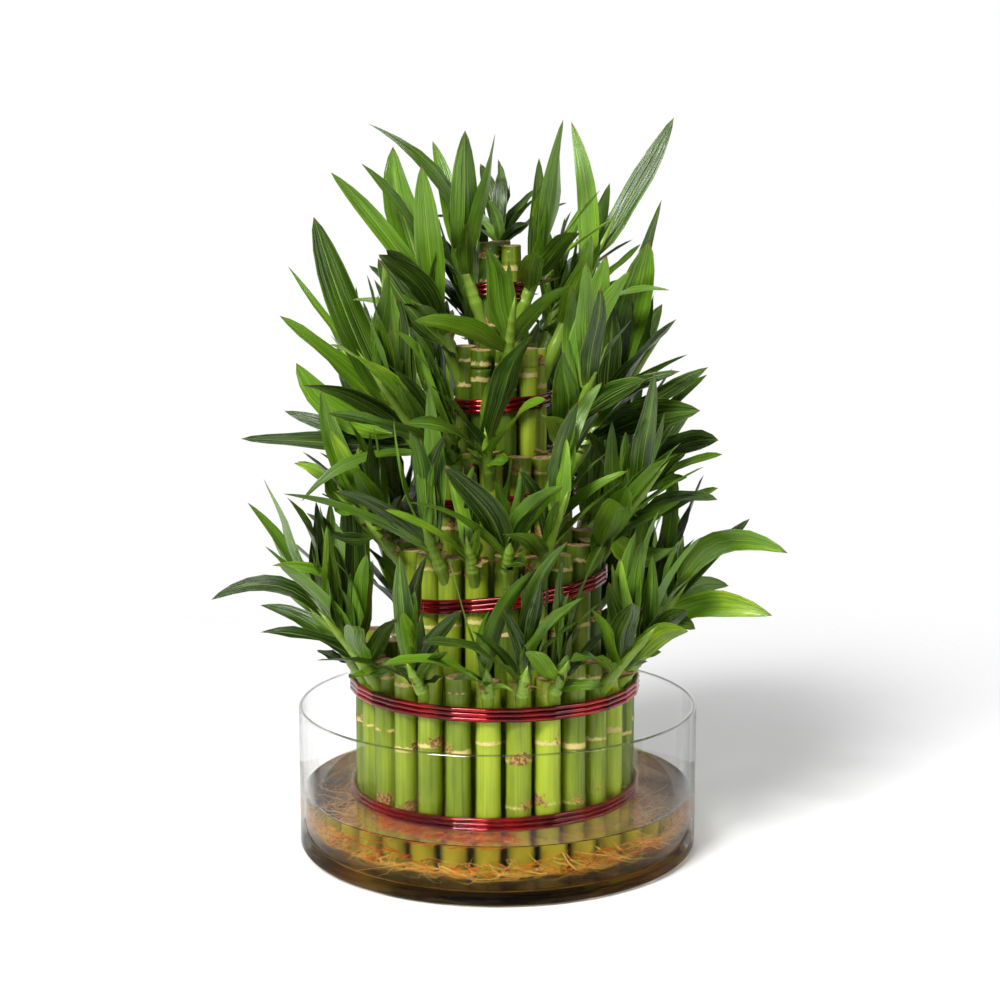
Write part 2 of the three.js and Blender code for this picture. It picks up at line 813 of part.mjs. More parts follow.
// The mat of roots: a low lumpy ring on the floor of the bowl, with single roots that arch out of it.
function roots() {
  const mat = new THREE.TorusGeometry(2, 1, MAT_SIDES, MAT_STEPS);
  const position = mat.attributes.position;
  const rowLength = MAT_STEPS + 1;
  for (let i = 0; i < position.count; i += 1) {
    const azimuth = 360 * ((i % rowLength) / MAT_STEPS);
    const angle = 2 * Math.PI * (Math.floor(i / rowLength) / MAT_SIDES);
    const [broad, fine] = MAT_LUMPS.map(({ count }) => degToRad(azimuth * count));
    const lump = 1 + MAT_LUMPS[0].height * Math.sin(broad) + MAT_LUMPS[1].height * Math.cos(fine);
    const point = outward(azimuth).multiplyScalar(MAT_RADIUS + MAT_HALF_WIDTH * Math.cos(angle));
    const height = FLOOR + MAT_HALF_HEIGHT * lump * (1 + Math.sin(angle));
    position.setXYZ(i, TIERS[0].centreX + point.x, point.y, height);
  }
  const draw = sequence(ROOT_SEED);
  const strands = Array.from({ length: ROOT_COUNT }, (_, root) => {
    const azimuth = (360 * root) / ROOT_COUNT;
    const bend = [
      [-5, MAT_HALF_HEIGHT * 1.4, azimuth],
      [2, draw(8, 11), azimuth + draw(-4, 4)],
      [draw(5.5, 7), 1, azimuth + draw(-9, 9)],
    ].map(([out, up, turn]) => {
      const point = outward(turn).multiplyScalar(MAT_RADIUS + out);
      return point.add(new THREE.Vector3(TIERS[0].centreX, 0, FLOOR + up));
    });
    const side = outward(azimuth + 90);
    const blank = new THREE.ConeGeometry(1, 1, ROOT_SIDES, ROOT_ROWS, false, Math.PI / 2);
    return sweep(blank, (along, across, face) => {
      const radius = ROOT_RADIUS * (1 - along);
      const front = bendAhead(bend, along).cross(side);
      return bendPoint(bend, along)
        .addScaledVector(side, across * radius)
        .addScaledVector(front, face * radius);
    });
  });
  return fuse([mat, ...strands]);
}

const plant = new THREE.Group();

function add(name, geometry, material) {
  const mesh = new THREE.Mesh(geometry, material);
  mesh.name = name;
  plant.add(mesh);
}

add("bowl", bowl(), GLASS);
add("water", water(), WATER);
add("roots", roots(), ROOT);
TIERS.forEach((tier) => {
  add(`${tier.name}_canes`, caneRing(tier), CANE);
  tier.bands.forEach((band, i) => add(`${tier.name}_wire_band_${i + 1}`, wireBand(tier, band), RED_WIRE));
});
planShoots().forEach((shoot) => add(shoot.name, shoot.geometry(), LEAF));

export default plant;
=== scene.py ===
"""Dresses the lucky bamboo tower: cut canes, folded leaves, red wire, roots, water and glass."""

import logging
import math
from dataclasses import dataclass, field
from enum import Enum
from typing import Callable, Sequence

import bpy
import numpy as np
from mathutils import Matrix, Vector


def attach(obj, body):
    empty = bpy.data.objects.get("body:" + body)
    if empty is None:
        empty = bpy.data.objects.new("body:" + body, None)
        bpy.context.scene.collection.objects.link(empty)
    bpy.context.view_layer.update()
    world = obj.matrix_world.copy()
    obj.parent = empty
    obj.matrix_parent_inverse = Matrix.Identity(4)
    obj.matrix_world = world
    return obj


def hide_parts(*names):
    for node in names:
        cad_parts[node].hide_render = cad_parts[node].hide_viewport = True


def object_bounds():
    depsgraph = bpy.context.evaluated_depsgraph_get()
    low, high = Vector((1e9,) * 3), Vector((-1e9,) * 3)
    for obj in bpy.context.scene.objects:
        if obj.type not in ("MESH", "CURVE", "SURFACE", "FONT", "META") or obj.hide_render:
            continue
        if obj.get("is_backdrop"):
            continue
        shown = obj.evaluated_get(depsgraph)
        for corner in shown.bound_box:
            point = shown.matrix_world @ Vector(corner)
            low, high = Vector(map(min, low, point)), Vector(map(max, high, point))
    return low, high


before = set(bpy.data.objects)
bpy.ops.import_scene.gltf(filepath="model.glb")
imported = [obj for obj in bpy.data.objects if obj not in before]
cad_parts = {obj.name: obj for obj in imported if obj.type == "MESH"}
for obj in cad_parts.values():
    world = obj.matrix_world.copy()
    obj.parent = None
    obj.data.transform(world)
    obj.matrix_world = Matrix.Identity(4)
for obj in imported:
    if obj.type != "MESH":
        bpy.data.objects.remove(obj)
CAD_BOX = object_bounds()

LOG = logging.getLogger("lucky_bamboo")
MM = 0.001
BODY = "root"
SMOOTH_ANGLE = math.radians(40)
UP = np.array([0.0, 0.0, 1.0])
SEEDS = {"heights": 5, "canes": 41, "roots": 77, "leaves": 99}
OUTER_SHADE = (0.1, 0.9)
# Darker tone range of the inner tiers' canes: painted shade of the leaves over them.
INNER_PAINTED_SHADE = (-0.2, 0.6)

Piece = bpy.types.Object
Socket = bpy.types.NodeSocket
Place = Callable[[np.ndarray], np.ndarray]
Profile = list[tuple[float, float]]
Rows = tuple[tuple[float, ...], ...]
Colour = tuple[float, float, float, float]
Axes = tuple[float, float, float]
Range = tuple[float, float]


class Slot(Enum):
    """Material slots of the record."""

    GLASS = "glass"
    WATER = "water"
    ROOT = "root"
    CANE = "cane"
    LEAF = "leaf"
    WIRE = "wire"


class End(Enum):
    """How a tube blank ends."""

    FLAT = "flat"
    POINT = "point"


class Draws:
    """A repeatable run of numbers, the same as the solids are placed with."""

    factor = 1664525
    step = 1013904223
    span = 4294967296

    def __init__(self, seed: int) -> None:
        """Starts the run at a seed."""
        self.state = seed

    def __call__(self, low: float, high: float) -> float:
        """Returns the next number between low and high."""
        self.state = (self.state * self.factor + self.step) % self.span
        return low + ((high - low) * self.state) / self.span


def outward(azimuth: float) -> np.ndarray:
    """Returns the level unit vector at an azimuth in degrees: 0 is the front and 90 the right."""
    angle = math.radians(azimuth)
    return np.array([math.sin(angle), -math.cos(angle), 0.0])


def reaching(azimuth: float, steep: float, length: float) -> np.ndarray:
    """Returns the step of a length that heads for an azimuth and climbs, both in degrees.

    Args:
        azimuth: Where it heads, in degrees.
        steep: How steeply it climbs, in degrees.
        length: How long it is.

    Returns:
        The step, as x, y and z.
    """
    climb = math.radians(steep)
    return outward(azimuth) * length * math.cos(climb) + UP * length * math.sin(climb)


def unit(vectors: np.ndarray) -> np.ndarray:
    """Returns vectors scaled to a length of one."""
    return vectors / np.linalg.norm(vectors, axis=-1, keepdims=True)


def deselect_all() -> None:
    """Clears the selection, so that the next operator acts on its own piece only."""
    if bpy.context.object and bpy.context.object.mode != "OBJECT":
        bpy.ops.object.mode_set(mode="OBJECT")
    bpy.ops.object.select_all(action="DESELECT")


def activate(piece: Piece) -> None:
    """Selects one piece alone and makes it the active one."""
    deselect_all()
    piece.select_set(True)
    bpy.context.view_layer.objects.active = piece


def points_of(piece: Piece) -> np.ndarray:
    """Returns a mesh's points as rows of x, y and z.

    Args:
        piece: The mesh.

    Returns:
        The points.
    """
    points = np.empty(len(piece.data.vertices) * 3)
    piece.data.vertices.foreach_get("co", points)
    return points.reshape(-1, 3)


def set_points(piece: Piece, points: np.ndarray) -> None:
    """Moves a mesh's points to the given rows of x, y and z."""
    piece.data.vertices.foreach_set("co", points.ravel())
    piece.data.update()


def set_attribute(piece: Piece, name: str, values: np.ndarray) -> None:
    """Stores one number for each point, which a finish can read.

    Args:
        piece: The mesh.
        name: What the finish reads it by.
        values: The numbers, or one for all.
    """
    mesh = piece.data
    attribute = mesh.attributes.get(name) or mesh.attributes.new(name, "FLOAT", "POINT")
    numbers = np.broadcast_to(values, len(mesh.vertices)).astype(np.float32)
    attribute.data.foreach_set("value", numbers)


def set_uv(piece: Piece, uv: np.ndarray) -> None:
    """Gives every point its place in a UV map.

    Args:
        piece: The mesh.
        uv: Two numbers for each point.
    """
    mesh = piece.data
    layer = mesh.uv_layers.active or mesh.uv_layers.new(name="UVMap")
    corner_points = np.empty(len(mesh.loops), dtype=np.int64)
    mesh.loops.foreach_get("vertex_index", corner_points)
    layer.data.foreach_set("uv", uv[corner_points].astype(np.float32).ravel())


def tube_blank(
    name: str, section: np.ndarray, rows: Sequence[float], start: End, end: End
) -> Piece:
    """Models a straight tube along Z, by extruding a ring of points from row to row.

    Args:
        name: Name of the blank.
        section: The ring's points, as rows of x and y.
        rows: Heights of the rings, rising.
        start: How its lower end is closed.
        end: How its upper end is closed.

    Returns:
        The blank, to be copied and reshaped.
    """
    deselect_all()
    bpy.ops.mesh.primitive_circle_add(vertices=len(section), radius=1, fill_type="NGON")
    blank = bpy.context.object
    blank.name = name
    ring = np.column_stack([section, np.full(len(section), rows[0])])
    set_points(blank, ring)
    bpy.ops.object.mode_set(mode="EDIT")
    bpy.ops.mesh.select_all(action="SELECT")
    for low, high in zip(rows, rows[1:]):
        bpy.ops.mesh.extrude_region_move(TRANSFORM_OT_translate={"value": (0, 0, high - low)})
    bpy.ops.object.mode_set(mode="OBJECT")
    for height, form in ((rows[0], start), (rows[-1], end)):
        if form is End.POINT:
            close_ring(blank, height)
    bpy.ops.object.mode_set(mode="EDIT")
    bpy.ops.mesh.select_all(action="SELECT")
    bpy.ops.mesh.normals_make_consistent(inside=False)
    bpy.ops.object.mode_set(mode="OBJECT")
    bpy.ops.object.shade_smooth_by_angle(angle=SMOOTH_ANGLE)
    return blank


def close_ring(blank: Piece, height: float) -> None:
    """Draws the ring of points at a height together into one point.

    Args:
        blank: The tube.
        height: Where the ring is.
    """
    bpy.ops.object.mode_set(mode="EDIT")
    bpy.ops.mesh.select_mode(type="VERT")
    bpy.ops.mesh.select_all(action="DESELECT")
    bpy.ops.object.mode_set(mode="OBJECT")
    at_height = np.abs(points_of(blank)[:, 2] - height) < 1e-4
    blank.data.vertices.foreach_set("select", at_height)
    bpy.ops.object.mode_set(mode="EDIT")
    bpy.ops.mesh.merge(type="CENTER")
    bpy.ops.object.mode_set(mode="OBJECT")


def round_section(sides: int) -> np.ndarray:
    """Returns the points of a unit circle."""
    turns = 2 * np.pi * np.arange(sides) / sides
    return np.column_stack([np.cos(turns), np.sin(turns)])


def reshaped(blank: Piece, place: Place, tone: float) -> Piece:
    """Copies a blank with a mesh of its own, and moves each of its points.

    Args:
        blank: The blank to copy.
        place: Turns rows of blank points into rows of places in millimetres.
        tone: The copy's own shade, from 0 to 1.

    Returns:
        The copy.
    """
    piece = bpy.data.objects.new(blank.name, blank.data.copy())
    bpy.context.scene.collection.objects.link(piece)
    set_points(piece, place(points_of(piece)) * MM)
    set_attribute(piece, "tone", np.array(tone))
    return piece


def joined(name: str, parts: Sequence[Piece]) -> Piece:
    """Joins parts into one piece.

    Args:
        name: The piece's name.
        parts: At least one part.

    Returns:
        The piece.
    """
    activate(parts[0])
    for part in parts[1:]:
        part.select_set(True)
    if len(parts) > 1:
        bpy.ops.object.join()
    piece = bpy.context.object
    piece.name = name
    piece.data.name = name
    return piece


def spun(name: str, profile: Profile, steps: int) -> Piece:
    """Models a turned shape: a profile is drawn by extruding a point, and spun about Z.

    Args:
        name: The piece's name.
        profile: Points of radius and height in millimetres.
        steps: Faces round it.

    Returns:
        The closed piece, with its faces outwards.
    """
    deselect_all()
    bpy.ops.mesh.primitive_plane_add(size=MM)
    piece = bpy.context.object
    piece.name = piece.data.name = name
    radius, height = profile[0]
    set_points(piece, np.tile([radius * MM, 0.0, height * MM], (4, 1)))
    bpy.ops.object.mode_set(mode="EDIT")
    bpy.ops.mesh.select_mode(type="VERT")
    bpy.ops.mesh.select_all(action="SELECT")
    bpy.ops.mesh.merge(type="CENTER")
    for (radius, height), (next_radius, next_height) in zip(profile, profile[1:]):
        step = ((next_radius - radius) * MM, 0, (next_height - height) * MM)
        bpy.ops.mesh.extrude_region_move(TRANSFORM_OT_translate={"value": step})
    bpy.ops.mesh.select_all(action="SELECT")
    bpy.ops.mesh.spin(steps=steps, angle=2 * math.pi, center=(0, 0, 0), axis=(0, 0, 1))
    bpy.ops.mesh.select_all(action="SELECT")
    bpy.ops.mesh.remove_doubles(threshold=0.01 * MM)
    bpy.ops.mesh.normals_make_consistent(inside=False)
    bpy.ops.object.mode_set(mode="OBJECT")
    bpy.ops.object.shade_smooth_by_angle(angle=SMOOTH_ANGLE)
    return piece


def arc(
    middle: tuple[float, float], radius: float, start: float, end: float, steps: int
) -> Profile:
    """Returns profile points along an arc.

    Args:
        middle: Radius and height of the arc's centre.
        radius: The arc's radius.
        start: Angle in degrees where it starts, from the direction away from the axis.
        end: Angle where it ends.
        steps: Number of steps.

    Returns:
        The points, as pairs of radius and height.
    """
    turns = [math.radians(start + (end - start) * i / steps) for i in range(steps + 1)]
    return [
        (middle[0] + radius * math.cos(turn), middle[1] + radius * math.sin(turn))
        for turn in turns
    ]


def hand_over(piece: Piece, finish: "Finish", slot: Slot, node: str) -> None:
    """Dresses a finished piece, and makes it ride and stand for its solid.

    Args:
        piece: The finished piece.
        finish: Its finish.
        slot: The record's slot; not used.
        node: The solid that it replaces.
    """
    piece.data.materials.clear()
    piece.data.materials.append(finish.material())
    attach(piece, BODY)
    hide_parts(node)
    LOG.info("%s: %d faces", piece.name, len(piece.data.polygons))


def colour(red: int, green: int, blue: int) -> Colour:
    """Returns a screen colour of 0 to 255 as the linear colour that a shader takes.

    Args:
        red: Its red part.
        green: Its green part.
        blue: Its blue part.

    Returns:
        The linear colour.
    """
    parts = [part / 255 for part in (red, green, blue)]
    linear = [
        part / 12.92 if part <= 0.04045 else ((part + 0.055) / 1.055) ** 2.4 for part in parts
    ]
    return (linear[0], linear[1], linear[2], 1.0)


class Nodes:
    """Builds one material's node tree."""

    def __init__(self, name: str) -> None:
        """Starts a material with a plain shader."""
        self.material = bpy.data.materials.new(name)
        self.material.use_nodes = True
        self.tree = self.material.node_tree
        self.shader = self.tree.nodes["Principled BSDF"]
        self.place = self.new("TexCoord").outputs["Object"]

    def new(self, kind: str) -> bpy.types.Node:
        """Adds a node of a kind."""
        return self.tree.nodes.new(f"ShaderNode{kind}")

    def put(self, target: Socket, value: object) -> None:
        """Links a socket to another's output, or sets its number.

        Args:
            target: The socket.
            value: A socket, number or colour.
        """
        if isinstance(value, Socket):
            self.tree.links.new(value, target)
        else:
            target.default_value = value

    def attribute(self, name: str) -> Socket:
        """Returns a stored number of the mesh.

        Args:
            name: The number's name.

        Returns:
            The number.
        """
        node = self.new("Attribute")
        node.attribute_name = name
        return node.outputs["Fac"]

    def uv(self) -> Socket:
        """Returns the piece's own UV place."""
        node = self.new("UVMap")
        node.uv_map = "UVMap"
        return node.outputs["UV"]

    def part(self, place: Socket, axis: str) -> Socket:
        """Returns one coordinate of a place.

        Args:
            place: The place.
            axis: X, Y or Z.

        Returns:
            The coordinate.
        """
        node = self.new("SeparateXYZ")
        self.put(node.inputs["Vector"], place)
        return node.outputs[axis]

    def noise(
        self, place: Socket, scale: float | Axes, detail: float = 3.0, seed: Socket | None = None
    ) -> Socket:
        """Returns soft noise from 0 to 1.

        Args:
            place: Where it is read.
            scale: Its scale, or one for each axis.
            detail: How many finer layers it has.
            seed: A number, for a pattern of its own at each value.

        Returns:
            The noise.
        """
        node = self.new("TexNoise")
        if seed is not None:
            node.noise_dimensions = "4D"
            self.put(node.inputs["W"], seed)
        if isinstance(scale, tuple):
            mapping = self.new("Mapping")
            self.put(mapping.inputs["Vector"], place)
            mapping.inputs["Scale"].default_value = scale
            place, scale = mapping.outputs["Vector"], 1.0
        self.put(node.inputs["Vector"], place)
        node.inputs["Scale"].default_value = scale
        node.inputs["Detail"].default_value = detail
        return node.outputs["Fac"]

    def math(self, operation: str, *numbers: object) -> Socket:
        """Returns the result of a sum on up to three numbers.

        Args:
            operation: The kind of sum.
            numbers: The numbers.

        Returns:
            The result.
        """
        node = self.new("Math")
        node.operation = operation
        for socket, value in zip(node.inputs, numbers):
            self.put(socket, value)
        return node.outputs[0]

    def times(self, first: object, second: object) -> Socket:
        """Returns the product of two numbers."""
        return self.math("MULTIPLY", first, second)

    def times_plus(self, first: object, second: object, third: object) -> Socket:
        """Returns the product of two numbers, plus a third."""
        return self.math("MULTIPLY_ADD", first, second, third)

    def minus(self, first: object, second: object) -> Socket:
        """Returns the first number less the second."""
        return self.math("SUBTRACT", first, second)

    def rest(self, share: Socket) -> Socket:
        """Returns what a share lacks to be one."""
        return self.minus(1.0, share)

    def larger(self, first: object, second: object) -> Socket:
        """Returns the larger of two numbers."""
        return self.math("MAXIMUM", first, second)

    def facing(self) -> Socket:
        """Returns how far the surface turns away, from 0 face on to 1 edge on."""
        return self.new("LayerWeight").outputs["Facing"]

    def level(self) -> Socket:
        """Returns how level the surface lies, 1 where it faces up."""
        return self.part(self.new("TexCoord").outputs["Normal"], "Z")

    def distance(self, place: Socket) -> Socket:
        """Returns how far a place is from the origin.

        Args:
            place: The place.

        Returns:
            The distance.
        """
        node = self.new("VectorMath")
        node.operation = "LENGTH"
        self.put(node.inputs[0], place)
        return node.outputs["Value"]

    def between(self, value: object, low: float, high: float) -> Socket:
        """Returns how far a number has come from low, 0, to high, 1.

        Args:
            value: The number.
            low: Where it starts.
            high: Where it ends.

        Returns:
            A share from 0 to 1.
        """
        node = self.new("MapRange")
        node.interpolation_type = "SMOOTHSTEP"
        self.put(node.inputs["Value"], value)
        node.inputs["From Min"].default_value = low
        node.inputs["From Max"].default_value = high
        return node.outputs["Result"]

    def between_lengths(self, value: Socket, limits: Range) -> Socket:
        """Returns how far a length has come between two limits in millimetres, from 0 to 1."""
        return self.between(value, limits[0] * MM, limits[1] * MM)

    def blend(self, share: object, first: object, second: object) -> Socket:
        """Returns a mix of two colours.

        Args:
            share: How much of the second there is.
            first: One colour.
            second: The other.

        Returns:
            The mix.
        """
        node = self.new("Mix")
        node.data_type = "RGBA"
        self.put(node.inputs["Factor"], share)
        colours = [socket for socket in node.inputs if socket.type == "RGBA"]
        self.put(colours[0], first)
        self.put(colours[1], second)
        return [socket for socket in node.outputs if socket.type == "RGBA"][0]

    def bump(self, height: Socket, depth: float, strength: float) -> None:
        """Raises the surface by a pattern.

        Args:
            height: The pattern.
            depth: Its depth in millimetres.
            strength: How much of it shows.
        """
        node = self.new("Bump")
        node.inputs["Strength"].default_value = strength
        node.inputs["Distance"].default_value = depth * MM
        self.put(node.inputs["Height"], height)
        self.tree.links.new(node.outputs["Normal"], self.shader.inputs["Normal"])

    def set(self, name: str, value: object) -> None:
        """Links or sets one of the shader's own sockets."""
        self.put(self.shader.inputs[name], value)


@dataclass(frozen=True)
class Finish:
    """A finish that is built once and shared by its pieces."""

    name: str

    def material(self) -> bpy.types.Material:
        """Returns the finish's material, building it the first time."""
        return bpy.data.materials.get(self.name) or self.build(Nodes(self.name))

    def build(self, nodes: Nodes) -> bpy.types.Material:
        """Builds the material."""
        raise NotImplementedError


@dataclass(frozen=True)
class LeafFinish(Finish):
    """Glossy leaf: fine veins, a pale midrib and margin, a dry tip, a paler sheath and stem, and a
    painted glow of light through it in bright patches.
    """

    name: str = "leaf_green"
    deep: Colour = colour(20, 42, 4)
    fresh: Colour = colour(92, 134, 18)
    # Painted light: bright yellow-green for light shining through a leaf.
    painted_glow: Colour = colour(158, 182, 44)
    sheath: Colour = colour(122, 150, 44)
    pale: Colour = colour(150, 180, 80)
    dry: Colour = colour(112, 84, 36)
    withered: Colour = colour(186, 158, 104)
    seed_spread: float = 60.0
    rib_scale: Axes = (15.0, 0.8, 1.0)
    vein_scale: Axes = (44.0, 1.8, 1.0)
    patch_scale: Axes = (1.6, 2.6, 1.0)
    patch_share: float = 1.1
    rib_share: float = 0.9
    fresh_range: Range = (0.0, 1.05)
    painted_glow_range: Range = (0.9, 1.4)
    streak_range: Range = (0.45, 0.8)
    streak_strength: float = 0.4
    midrib_range: Range = (0.006, 0.035)
    margin_range: Range = (0.465, 0.5)
    line_strength: float = 0.35
    sheath_strength: float = 0.7
    tip_wander: float = 0.04
    tip_range: Range = (0.98, 1.01)
    withered_range: Range = (0.35, 0.7)
    rib_relief: float = 2.2
    vein_relief: float = 0.6
    midrib_relief: float = -0.9

    def build(self, nodes: Nodes) -> bpy.types.Material:
        """Builds the material."""
        place = nodes.uv()
        across = nodes.math("ABSOLUTE", nodes.minus(nodes.part(place, "X"), 0.5))
        along = nodes.part(place, "Y")
        tone = nodes.attribute("tone")
        seed = nodes.times(tone, self.seed_spread)
        ribs = nodes.noise(place, self.rib_scale, 1.0, seed)
        veins = nodes.noise(place, self.vein_scale, 2.0, seed)
        patches = nodes.noise(place, self.patch_scale, 2.0, seed)
        shade = nodes.times_plus(nodes.minus(patches, 0.5), self.patch_share, tone)
        shade = nodes.times_plus(nodes.minus(ribs, 0.5), self.rib_share, shade)
        green = nodes.blend(nodes.between(shade, *self.fresh_range), self.deep, self.fresh)
        # Painted light: the brightest patches glow as if lit through.
        green = nodes.blend(nodes.between(shade, *self.painted_glow_range), green, self.painted_glow)
        streak = nodes.between(veins, *self.streak_range)
        green = nodes.blend(nodes.times(streak, self.streak_strength), green, self.pale)
        midrib = nodes.rest(nodes.between(across, *self.midrib_range))
        margin = nodes.between(across, *self.margin_range)
        line = nodes.times(nodes.larger(midrib, margin), self.line_strength)
        green = nodes.blend(line, green, self.pale)
        stem = nodes.attribute("stem")
        green = nodes.blend(nodes.times(stem, self.sheath_strength), green, self.sheath)
        tip = nodes.between(nodes.times_plus(patches, self.tip_wander, along), *self.tip_range)
        tip = nodes.times(tip, nodes.rest(stem))
        brown = nodes.blend(nodes.between(veins, *self.withered_range), self.dry, self.withered)
        green = nodes.blend(nodes.attribute("withered"), green, brown)
        nodes.set("Base Color", nodes.blend(tip, green, self.dry))
        nodes.set("Roughness", nodes.times_plus(veins, 0.22, 0.18))
        nodes.set("Specular IOR Level", 0.42)
        height = nodes.times_plus(ribs, self.rib_relief, nodes.times(veins, self.vein_relief))
        height = nodes.times_plus(midrib, self.midrib_relief, height)
        nodes.bump(height, depth=0.3, strength=0.75)
        return nodes.material


@dataclass(frozen=True)
class CaneFinish(Finish):
    """Cane: streaked yellow-green skin, tan node lines, brown root buds and tan cut ends.

    Painted shade darkens it where it turns away from view. Under water painted light makes it
    paler, and painted shade darkens it where it turns away and among the inner canes.
    """

    name: str = "cane_green"
    deep: Colour = colour(60, 84, 6)
    bright: Colour = colour(158, 176, 44)
    node: Colour = colour(196, 178, 112)
    bud: Colour = colour(178, 136, 76)
    # Painted shade: the dark green where a cane turns away from view, and of the inner canes under
    # water.
    edge: Colour = colour(40, 54, 8)
    cut: Colour = colour(190, 158, 112)
    bark: Colour = colour(98, 66, 36)
    # Painted light: the pale yellow-green that brightens a cane under water.
    underwater_light: Colour = colour(240, 240, 96)
    streak_scale: Axes = (760.0, 760.0, 22.0)
    cloud_scale: Axes = (90.0, 90.0, 26.0)
    grain_scale: float = 420.0
    fleck_scale: float = 900.0
    streak_share: float = 0.8
    cloud_share: float = 0.8
    skin_range: Range = (0.55, 1.9)
    ring_grain: float = 1.5
    ring_range: Range = (1.25, 1.6)
    bud_grain: float = 1.4
    bud_range: Range = (0.95, 1.15)
    bud_strength: float = 0.95
    fleck_range: Range = (0.4, 0.6)
    turned_range: Range = (0.5, 1.0)
    turned_shade_strength: float = 0.75
    water_line: Range = (26.5, 28.0)
    underwater_light_strength: float = 0.75
    inner_shade_range: Range = (56.0, 62.0)
    underwater_shade_range: Range = (0.35, 0.85)
    wood_range: Range = (0.3, 0.75)

    def build(self, nodes: Nodes) -> bpy.types.Material:
        """Builds the material."""
        place = nodes.place
        streaks = nodes.noise(place, self.streak_scale)
        clouds = nodes.noise(place, self.cloud_scale, 2.0)
        grains = nodes.noise(place, self.grain_scale, 4.0)
        shade = nodes.times_plus(streaks, self.streak_share, nodes.attribute("tone"))
        shade = nodes.times_plus(clouds, self.cloud_share, shade)
        skin = nodes.blend(nodes.between(shade, *self.skin_range), self.deep, self.bright)
        ring = nodes.times_plus(grains, self.ring_grain, nodes.attribute("ring"))
        ring = nodes.between(ring, *self.ring_range)
        skin = nodes.blend(ring, skin, self.node)
        bud = nodes.times_plus(grains, self.bud_grain, nodes.attribute("bud"))
        bud = nodes.between(bud, *self.bud_range)
        flecks = nodes.between(nodes.noise(place, self.fleck_scale, 2.0), *self.fleck_range)
        flecks = nodes.blend(flecks, self.bark, self.bud)
        skin = nodes.blend(nodes.times(bud, self.bud_strength), skin, flecks)
        # Painted shade where a cane turns away from view.
        turned = nodes.between(nodes.facing(), *self.turned_range)
        skin = nodes.blend(nodes.times(turned, self.turned_shade_strength), skin, self.edge)
        # Painted light: below the water line the cane is made paler.
        dry = nodes.between_lengths(nodes.part(place, "Z"), self.water_line)
        below_water = nodes.times_plus(dry, -self.underwater_light_strength, self.underwater_light_strength)
        skin = nodes.blend(below_water, skin, self.underwater_light)
        # Painted shade on the inner canes under water.
        outer = nodes.between_lengths(nodes.distance(place), self.inner_shade_range)
        skin = nodes.blend(nodes.times(nodes.rest(outer), below_water), skin, self.edge)
        # Painted shade where a cane turns away from view under water.
        underwater_shade = nodes.times(nodes.between(nodes.facing(), *self.underwater_shade_range), below_water)
        skin = nodes.blend(underwater_shade, skin, self.edge)
        wood = nodes.blend(nodes.between(grains, *self.wood_range), self.cut, self.bark)
        end = nodes.attribute("cut")
        nodes.set("Base Color", nodes.blend(end, skin, wood))
        dull = nodes.larger(nodes.larger(ring, bud), end)
        nodes.set("Roughness", nodes.times_plus(dull, 0.4, 0.34))
        nodes.set("Specular IOR Level", 0.32)
        relief = nodes.math("ADD", nodes.times(streaks, 0.5), nodes.times(grains, dull))
        nodes.bump(relief, depth=0.5, strength=0.6)
        return nodes.material


@dataclass(frozen=True)
class WireFinish(Finish):
    """Shiny crimson wire, its lacquer a little uneven."""

    name: str = "wire_crimson"
    bright: Colour = colour(158, 4, 14)
    dark: Colour = colour(84, 0, 6)
    uneven_scale: float = 48.0
    uneven_range: Range = (0.3, 0.7)

    def build(self, nodes: Nodes) -> bpy.types.Material:
        """Builds the material."""
        uneven = nodes.noise(nodes.place, self.uneven_scale, 1.0)
        red = nodes.blend(nodes.between(uneven, *self.uneven_range), self.dark, self.bright)
        nodes.set("Base Color", red)
        nodes.set("Metallic", 0.7)
        nodes.set("Coat Weight", 0.45)
        nodes.set("Coat Roughness", 0.06)
        nodes.set("Roughness", nodes.times_plus(uneven, 0.16, 0.14))
        nodes.bump(uneven, depth=0.25, strength=0.5)
        return nodes.material


@dataclass(frozen=True)
class RootFinish(Finish):
    """Wet roots, from rust and orange to straw, with pale young ones."""

    name: str = "root_rust"
    dark: Colour = colour(222, 84, 16)
    rust: Colour = colour(250, 150, 28)
    straw: Colour = colour(250, 216, 124)
    mottle_scale: float = 260.0
    mottle_share: float = 0.5
    rust_range: Range = (0.2, 0.85)
    straw_range: Range = (0.75, 1.3)
    roughness_range: Range = (-0.8, 1.6)

    def build(self, nodes: Nodes) -> bpy.types.Material:
        """Builds the material."""
        mottle = nodes.noise(nodes.place, self.mottle_scale)
        shade = nodes.times_plus(mottle, self.mottle_share, nodes.attribute("tone"))
        rusty = nodes.blend(nodes.between(shade, *self.rust_range), self.dark, self.rust)
        straw = nodes.between(shade, *self.straw_range)
        nodes.set("Base Color", nodes.blend(straw, rusty, self.straw))
        nodes.set("Roughness", nodes.between(mottle, *self.roughness_range))
        nodes.bump(mottle, depth=0.3, strength=0.8)
        return nodes.material


